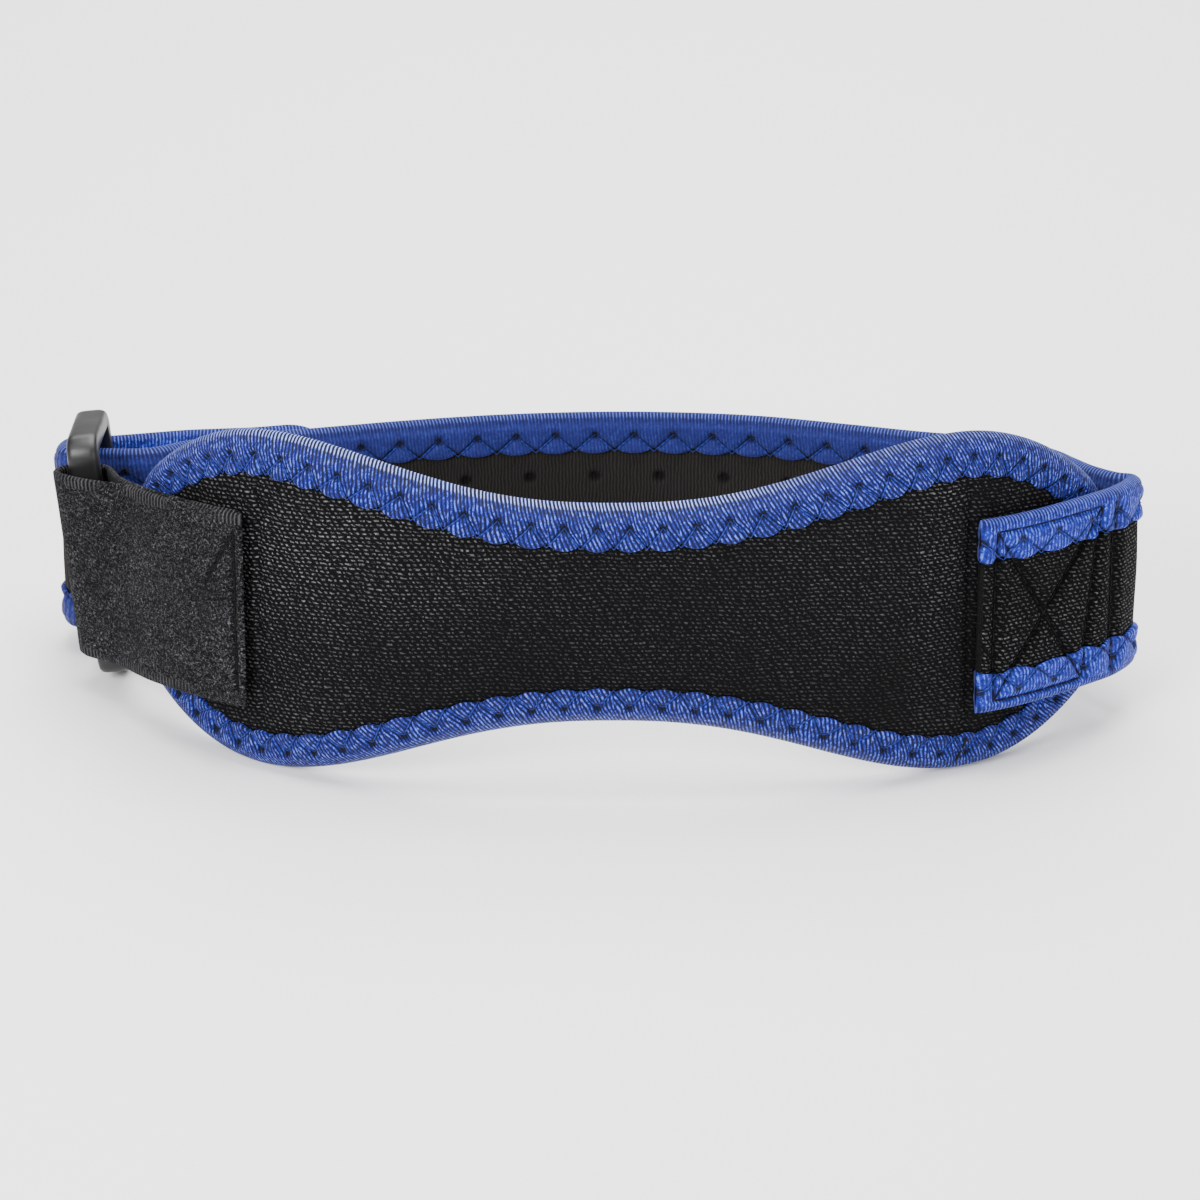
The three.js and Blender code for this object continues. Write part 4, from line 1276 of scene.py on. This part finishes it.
def brushed_lining(name):
    """Brushed tricot on the side to the leg: to the eye, a flat dark grey with faint upright ribs, which
    are a cosine of the way along, with painted shade in its dimples."""
    m = Finish(name)
    wander = m.add("TexNoise", m.flat, Scale=1 / LINING_WANDER)
    ribs_along = m.add("Math", m.run, 1 / RIB_PITCH, operation="MULTIPLY")
    at = m.add("Math", wander, 1.2, ribs_along, operation="MULTIPLY_ADD")
    wave = m.add("Math", m.add("Math", at, 2 * math.pi, operation="MULTIPLY"), operation="COSINE")
    rib = m.add("Math", wave, 0.5, 0.5, operation="MULTIPLY_ADD")
    grain = m.add("TexNoise", m.flat, Scale=1 / LINING_GRAIN, Detail=3.0, Roughness=0.7)
    share = m.add("Math", m.add("Math", rib, grain, operation="MULTIPLY"), 0.8, operation="MULTIPLY")
    cloth = m.add("Mix", share, colour("#0f0e0d"), colour("#34312f"), data_type="RGBA")
    # painted shade in the dimples
    dimple_shade = m.add("MapRange", m.groove, 0.0, 1.0, 0.0, 0.6, **SOFT)
    relief = m.add("Math", rib, grain, operation="ADD")
    return m.done(
        Base_Color=m.add("Mix", dimple_shade, cloth, colour("#040404"), data_type="RGBA"),
        Roughness=0.9,
        Normal=m.add("Bump", Height=relief, Distance=0.08 * MM, Strength=0.6),
        Specular_IOR_Level=0.12,
    )


def highlight_on_top(m):
    """Painted highlight on the crests over the pad's fold: strongest along its top, left of the right
    lobe.
    """
    from_right = m.add("MapRange", m.run, 0.16 * PAD_TAPE_LENGTH, 0.22 * PAD_TAPE_LENGTH, **SOFT)
    to_left = m.add("MapRange", m.run, 0.43 * PAD_TAPE_LENGTH, 0.37 * PAD_TAPE_LENGTH, **SOFT)
    top = m.add("Math", from_right, to_left, operation="MULTIPLY")
    return m.add("Math", top, 0.75, 0.2, operation="MULTIPLY_ADD")


def faint_highlights(m):
    """Painted highlight on the crests over the strap's fold: no more than a lighter blue all along."""
    return 0.6


def ribbed_tape(name, pitch, hole_in, fold_highlights, highlight_tint, grain_share, rib_floor, fan, slant):
    """Woven elastic tape, folded: to the eye, slanted royal-blue ribs with a broken grain, painted
    highlight on the crests over the fold, and painted shade between them, in the needle holes, creases
    and seams' grooves and on the side to the leg. A rib is a cosine of the way along, which leans with
    the way across and fans out from each hole."""
    m = Finish(name)
    highlight_share = fold_highlights(m)
    # where the point lies from its nearest needle hole, along the tape and down from the edge
    zigzag = m.add("Math", m.run, 1 / pitch, 0.5, operation="MULTIPLY_ADD")
    phase = m.add("Math", zigzag, operation="FRACT")
    along = m.add("Math", phase, pitch, -pitch / 2, operation="MULTIPLY_ADD")
    down = m.add("Math", m.across, hole_in, operation="SUBTRACT")
    off_along = m.add("Math", along, operation="ABSOLUTE")
    off_down = m.add("Math", down, operation="ABSOLUTE")
    # the ribs
    spread = m.add("MapRange", down, -0.5, 4.2, 0.0, -0.38 * fan, **SOFT)
    near_hole = m.add(
        "Math",
        m.add("MapRange", off_down, 2.4, 0.3, **SOFT),
        m.add("MapRange", off_along, 2.8, 0.6, **SOFT),
        operation="MULTIPLY",
    )
    pull = m.add("Math", near_hole, 0.5 * fan, spread, operation="MULTIPLY_ADD")
    slanted = m.add("Math", m.across, slant, m.run, operation="MULTIPLY_ADD")
    fanned = m.add("Math", along, pull, slanted, operation="MULTIPLY_ADD")
    drift = m.add("TexNoise", m.flat, Scale=1 / RIB_WANDER)
    wander = m.add("Math", drift, 2.6 * fan, -1.3 * fan, operation="MULTIPLY_ADD")
    at = m.add("Math", fanned, 1 / RIB_PITCH, wander, operation="MULTIPLY_ADD")
    wave = m.add("Math", m.add("Math", at, 2 * math.pi, operation="MULTIPLY"), operation="COSINE")
    rib = m.add("Math", wave, 0.5, 0.5, operation="MULTIPLY_ADD")
    # the grain that breaks them
    stretched = m.add("Mapping", Vector=m.flat, Scale=(1.3, 0.8, 1.0))
    grain = m.add("TexNoise", stretched, Scale=1 / TAPE_GRAIN, Detail=3.0, Roughness=0.7, Distortion=0.5)
    blotch = m.add("TexNoise", m.flat, Scale=1 / TAPE_BLOTCH)
    mixed = m.add("MapRange", grain, 0.38, 0.64, 1 - grain_share, 1.0, **SOFT)
    for part in (
        m.add("MapRange", blotch, 0.35, 0.65, 0.85, 1.3, **SOFT),
        m.add("MapRange", rib, 0.1, 0.9, rib_floor, 1.0, **SOFT),
    ):
        mixed = m.add("Math", mixed, part, operation="MULTIPLY")
    # the needle holes and the creases that the thread pulls from hole to edge, painted in shade
    across_hole = m.add("Math", along, along, operation="MULTIPLY")
    squares = m.add("Math", down, down, across_hole, operation="MULTIPLY_ADD")
    off = m.add("Math", squares, operation="SQRT")
    fray = m.add("TexNoise", m.flat, Scale=1 / HOLE_FRAY)
    frayed = m.add("Math", fray, 0.8, -0.4, operation="MULTIPLY_ADD")
    ragged = m.add("Math", off, frayed, operation="ADD")
    hole = m.add("MapRange", ragged, 1.4, 0.5, **SOFT)
    slope = (PAD_BINDING_WIDTH - EDGE_STITCH_IN - hole_in) / (pitch / 2)
    crease_at = m.add("Math", off_along, -slope, down, operation="MULTIPLY_ADD")
    crease_fray = m.add("TexNoise", m.flat, Scale=1 / CREASE_FRAY)
    off_crease = m.add("Math", crease_at, operation="ABSOLUTE")
    thin = m.add("Math", crease_fray, 0.35, off_crease, operation="MULTIPLY_ADD")
    breaks = m.add("TexNoise", m.flat, Scale=1 / CREASE_BREAK, Detail=1.0)
    crease = m.add(
        "Math",
        m.add("MapRange", thin, 0.95, 0.3, **SOFT),
        m.add("MapRange", breaks, 0.25, 0.5, **SOFT),
        operation="MULTIPLY",
    )
    # the fold's painted highlight on its rib crests, and the painted shade between them
    fold_highlight = m.add(
        "Math",
        m.add("MapRange", m.across, 1.15, 0.7, **SOFT),
        m.add("MapRange", rib, 0.6, 0.95, **SOFT),
        operation="MULTIPLY",
    )
    fold_shade = m.add(
        "Math",
        m.add("MapRange", m.across, 2.4, 1.2, **SOFT),
        m.add("MapRange", rib, 0.85, 0.55, **SOFT),
        operation="MULTIPLY",
    )
    # how strong the painted shade between the fold's ribs is, at least 0.6
    fold_shade_share = m.add("Math", highlight_share, 0.6, operation="MAXIMUM")
    # painted shade on the tape's side to the leg
    shaded_inner = m.add(
        "Mix",
        m.add("MapRange", mixed, 0.0, 0.9, **SOFT),
        colour("#13174e"),
        colour("#1d2468"),
        data_type="RGBA",
    )
    # each layer of colour over the last: how much of it, and what it is. The first two are the grain's
    # own tone, with painted highlight on the rib crests and painted shade in the valleys; then painted
    # shade on the side to the leg and between the fold's ribs, painted highlight on the fold's crests,
    # and painted shade in the creases, the needle holes and the seams' grooves
    tint = colour("#03062a")
    for share, layer in (
        (m.add("MapRange", mixed, 0.0, 0.45, **SOFT), colour("#14228a")),
        (m.add("MapRange", mixed, 0.5, 1.0, **SOFT), colour("#5069dd")),
        (m.add("Math", m.side, 0.9, operation="MULTIPLY"), shaded_inner),
        (m.add("Math", fold_shade, fold_shade_share, operation="MULTIPLY"), colour("#02041c")),
        (m.add("Math", fold_highlight, highlight_share, operation="MULTIPLY"), colour(highlight_tint)),
        (m.add("Math", crease, 0.85, operation="MULTIPLY"), colour("#040827")),
        (m.add("Math", hole, 0.95, operation="MULTIPLY"), colour("#030510")),
        (m.add("MapRange", m.groove, 0.2, 0.8, 0.0, 0.75, **SOFT), colour("#050824")),
    ):
        tint = m.add("Mix", share, tint, layer, data_type="RGBA")
    relief = m.add("Math", hole, -0.8, mixed, operation="MULTIPLY_ADD")
    relief = m.add("Math", crease, -0.3, relief, operation="MULTIPLY_ADD")
    return m.done(
        Base_Color=tint,
        Roughness=m.add("MapRange", rib, 0.0, 1.0, 0.8, 0.6, **SOFT),
        Normal=m.add("Bump", Height=relief, Distance=0.3 * MM, Strength=0.9),
        Sheen_Weight=0.04,
        Sheen_Roughness=0.4,
        Specular_IOR_Level=0.2,
    )


def loop_pile(name):
    """Brushed loop tape: to the eye, a matt tangle of fibre ends over black, painted grey as highlight
    where they catch the light, ribbed along its woven edges, and painted in shade along its seams. A
    fibre is where a warped noise passes through its middle, in two layers."""
    m = Finish(name)
    stretched = m.add("Mapping", Vector=m.flat, Scale=(0.9, 1.3, 1.0))
    upper = m.add("TexNoise", m.flat, Scale=1 / PILE_TANGLE, Detail=1.0, Distortion=1.2)
    under = m.add("TexNoise", stretched, Scale=1 / PILE_UNDER, Detail=1.0, Distortion=1.4)
    fibres = []
    for layer, middle_of, strength in ((upper, 0.5, 1.0), (under, 0.55, 0.8)):
        off = m.add("Math", m.add("Math", layer, middle_of, operation="SUBTRACT"), operation="ABSOLUTE")
        fibres.append(m.add("MapRange", off, 0.045, 0.008, 0.0, strength, **SOFT))
    both = m.add("Math", *fibres, operation="MAXIMUM")
    light = m.add("TexNoise", m.flat, Scale=1 / PILE_LIGHT, Detail=3.0, Roughness=0.7)
    share_lit = m.add("MapRange", light, 0.4, 0.6, 0.05, 1.0, **SOFT)
    lit = m.add("Math", both, share_lit, operation="MULTIPLY")
    off_middle = m.add("Math", m.across, operation="ABSOLUTE")
    worn = m.add("TexNoise", m.flat, Scale=1 / WOVEN_EDGE_WEAR, Detail=1.0)
    edge = m.add(
        "Math",
        m.add("MapRange", off_middle, TAB_HEIGHT / 2 - 2.8, TAB_HEIGHT / 2 - 2.2, **SOFT),
        m.add("MapRange", worn, 0.38, 0.56, 0.0, 0.7, **SOFT),
        operation="MULTIPLY",
    )
    wave = m.add("Math", m.run, 2 * math.pi / WOVEN_EDGE_RIB, operation="MULTIPLY")
    ribs = m.add("Math", m.add("Math", wave, operation="SINE"), 0.5, 0.5, operation="MULTIPLY_ADD")
    raised = m.add("MapRange", ribs, 0.4, 1.0, 0.0, 0.5, **SOFT)
    woven = m.add("Math", raised, edge, operation="MULTIPLY")
    open_pile = m.add("Math", 1.0, edge, operation="SUBTRACT")
    relief = m.add("Math", lit, open_pile, woven, operation="MULTIPLY_ADD")
    # painted shade along the seams' grooves
    seam = m.add("MapRange", m.groove, 0.1, 0.8, 1.0, 0.05, **SOFT)
    wear = m.add("TexNoise", m.flat, Scale=1 / PILE_WEAR)
    share = relief
    for part in (m.add("MapRange", wear, 0.3, 0.7, 0.65, 1.0, **SOFT), seam):
        share = m.add("Math", share, part, operation="MULTIPLY")
    return m.done(
        Base_Color=m.add("Mix", share, colour("#040405"), colour("#68686c"), data_type="RGBA"),
        Roughness=0.95,
        Normal=m.add("Bump", Height=relief, Distance=0.35 * MM, Strength=0.9),
        Specular_IOR_Level=0.1,
    )


def twisted_thread(name, base, light):
    """Spun polyester thread: to the eye, a soft gleam in turns along each stitch, a sine of its way."""
    m = Finish(name)
    wave = m.add("Math", m.run, 2 * math.pi / THREAD_TWIST, operation="MULTIPLY")
    turns = m.add("Math", m.add("Math", wave, operation="SINE"), 0.5, 0.5, operation="MULTIPLY_ADD")
    return m.done(
        Base_Color=m.add("Mix", turns, colour(base), colour(light), data_type="RGBA"),
        Roughness=0.7,
        Normal=m.add("Bump", Height=turns, Distance=0.06 * MM, Strength=0.6),
        Specular_IOR_Level=0.15,
    )


def moulded_plastic(name):
    """Injection-moulded acetal: to the eye, satin black with a fine grain and lightly rubbed patches."""
    m = Finish(name)
    grain = m.add("TexNoise", m.flat, Scale=1 / PLASTIC_GRAIN, Detail=3.0, Roughness=0.6)
    rub = m.add("TexNoise", m.flat, Scale=1 / PLASTIC_RUB, Detail=3.0, Roughness=0.6)
    rubbed = m.add("MapRange", rub, 0.45, 0.7, **SOFT)
    return m.done(
        Base_Color=m.add("Mix", rubbed, colour("#0b0b0c"), colour("#171718"), data_type="RGBA"),
        Roughness=m.add("MapRange", rubbed, 0.0, 1.0, 0.42, 0.54, **SOFT),
        Normal=m.add("Bump", Height=grain, Distance=0.03 * MM, Strength=0.5),
        Specular_IOR_Level=0.45,
    )


def moulded_hooks(name):
    """Moulded nylon hooks: to the eye, a fine regular stubble, a sine along times a sine across."""
    m = Finish(name)
    waves = []
    for way in (m.run, m.across):
        turned = m.add("Math", way, 2 * math.pi / HOOK_SPACING, operation="MULTIPLY")
        waves.append(m.add("Math", turned, operation="SINE"))
    rows = m.add("Math", *waves, operation="MULTIPLY")
    share = m.add("MapRange", rows, 0.0, 1.0, **SOFT)
    return m.done(
        Base_Color=m.add("Mix", share, colour("#101011"), colour("#2c2c2e"), data_type="RGBA"),
        Roughness=0.6,
        Normal=m.add("Bump", Height=rows, Distance=0.2 * MM, Strength=0.8),
    )


def studio_floor(name):
    """Painted board: to the eye, a plain pale matt floor."""
    return Finish(name).done(Base_Color=colour("#f4f4f4"), Roughness=0.6, Specular_IOR_Level=0.2)


# ---- Stage ----
FLOOR_HALF = 3.0  # metres
LIGHTS = (
    # name, where, what it faces (metres), size (metres), power (watts)
    ("key", (-0.45, -0.6, 0.55), (0, 0, 0.03), 0.35, 11.0),
    ("top", (0.05, 0.1, 0.8), (0, 0, 0.03), 0.6, 13.0),
    ("fill", (0.6, -0.7, 0.3), (0, 0, 0.04), 0.5, 6.0),
    ("backdrop", (0, 1.5, 1.3), (0, 1.9, 0), 1.6, 70.0),
)
WORLD_STRENGTH = 0.45


def stand(name, data, origin, target):
    """Puts a camera or a light at its origin, facing its target."""
    made = bpy.data.objects.new(name, data)
    made.location = origin
    made.rotation_euler = (Vector(target) - Vector(origin)).to_track_quat("-Z", "Y").to_euler()
    bpy.context.scene.collection.objects.link(made)
    return made


def set_camera():
    """The photograph's camera, at its elevation to the upright strap."""
    away = VIEW_DISTANCE * np.array([0, -math.cos(VIEW_ELEVATION), math.sin(VIEW_ELEVATION)])
    data = bpy.data.cameras.new("camera")
    data.lens = VIEW_LENS
    data.sensor_width = SENSOR
    camera = stand("camera", data, placed(VIEW_AIM + away), placed(VIEW_AIM))
    bpy.context.scene.camera = camera


def set_stage():
    """A plain pale floor, four soft lights and an even white surround."""
    mesh = bpy.data.meshes.new("floor")
    corners = [(x * FLOOR_HALF, y * FLOOR_HALF, 0) for x, y in ((-1, -1), (1, -1), (1, 1), (-1, 1))]
    mesh.from_pydata(corners, [], [(0, 1, 2, 3)])
    mesh.materials.append(studio_floor("studio_floor"))
    floor = bpy.data.objects.new("floor", mesh)
    bpy.context.scene.collection.objects.link(floor)
    for name, origin, target, size, power in LIGHTS:
        data = bpy.data.lights.new(name, "AREA")
        data.size = size
        data.energy = power
        stand(name, data, origin, target)
    world = bpy.data.worlds.new("studio")
    world.use_nodes = True
    background = world.node_tree.nodes["Background"]
    background.inputs["Color"].default_value = (1, 1, 1, 1)
    background.inputs["Strength"].default_value = WORLD_STRENGTH
    bpy.context.scene.world = world


# ---- The strap, piece by piece ----
# the second colour of each knit is the painted highlight on its loops
pad_knit = knit("pad_knit", "#080809", "#949497", pad_sheen)
band_knit = knit("strap_knit", "#050505", "#5a5a5c", even_sheen)
band_lining = brushed_lining("strap_lining")
pad_tape = ribbed_tape(
    "pad_tape",
    pitch=PAD_TAPE_PITCH,
    hole_in=ZIGZAG_HOLE_IN,
    fold_highlights=highlight_on_top,
    highlight_tint="#93aaff",
    grain_share=0.85,
    rib_floor=0.0,
    fan=0.5,
    slant=PAD_RIB_SLANT,
)
strap_tape = ribbed_tape(
    "strap_tape",
    pitch=STRAP_ZIGZAG_PITCH,
    hole_in=STRAP_HOLE_IN,
    fold_highlights=faint_highlights,
    highlight_tint="#3f58c4",
    grain_share=0.7,
    rib_floor=0.4,
    fan=0.15,
    slant=STRAP_RIB_SLANT,
)
blue_thread = twisted_thread("blue_thread", "#16205f", "#26368a")
black_thread = twisted_thread("black_thread", "#020203", "#0c0c0e")

make_pad_cover(pad_knit)
make_pad_edging(pad_tape, blue_thread)
make_strap_band(band_knit, band_lining)
make_strap_edging(1, strap_tape, blue_thread)
make_strap_edging(-1, strap_tape, blue_thread)
make_ring(moulded_plastic("ring_plastic"))
make_tab(loop_pile("loop_pile"))
make_patch(moulded_hooks("hook_tape"))
make_seam("strap_box_seam", STRAP_SEAMS, strap_skin, black_thread)
make_seam("tab_end_seam", TAB_SEAMS_IN_SIGHT, tab_skin, black_thread)
make_seam(
    "pad_seam_end", PAD_SEAM_ENDS, pad_skin, black_thread, LOOSE_THREAD_RADIUS
)
set_camera()
set_stage()
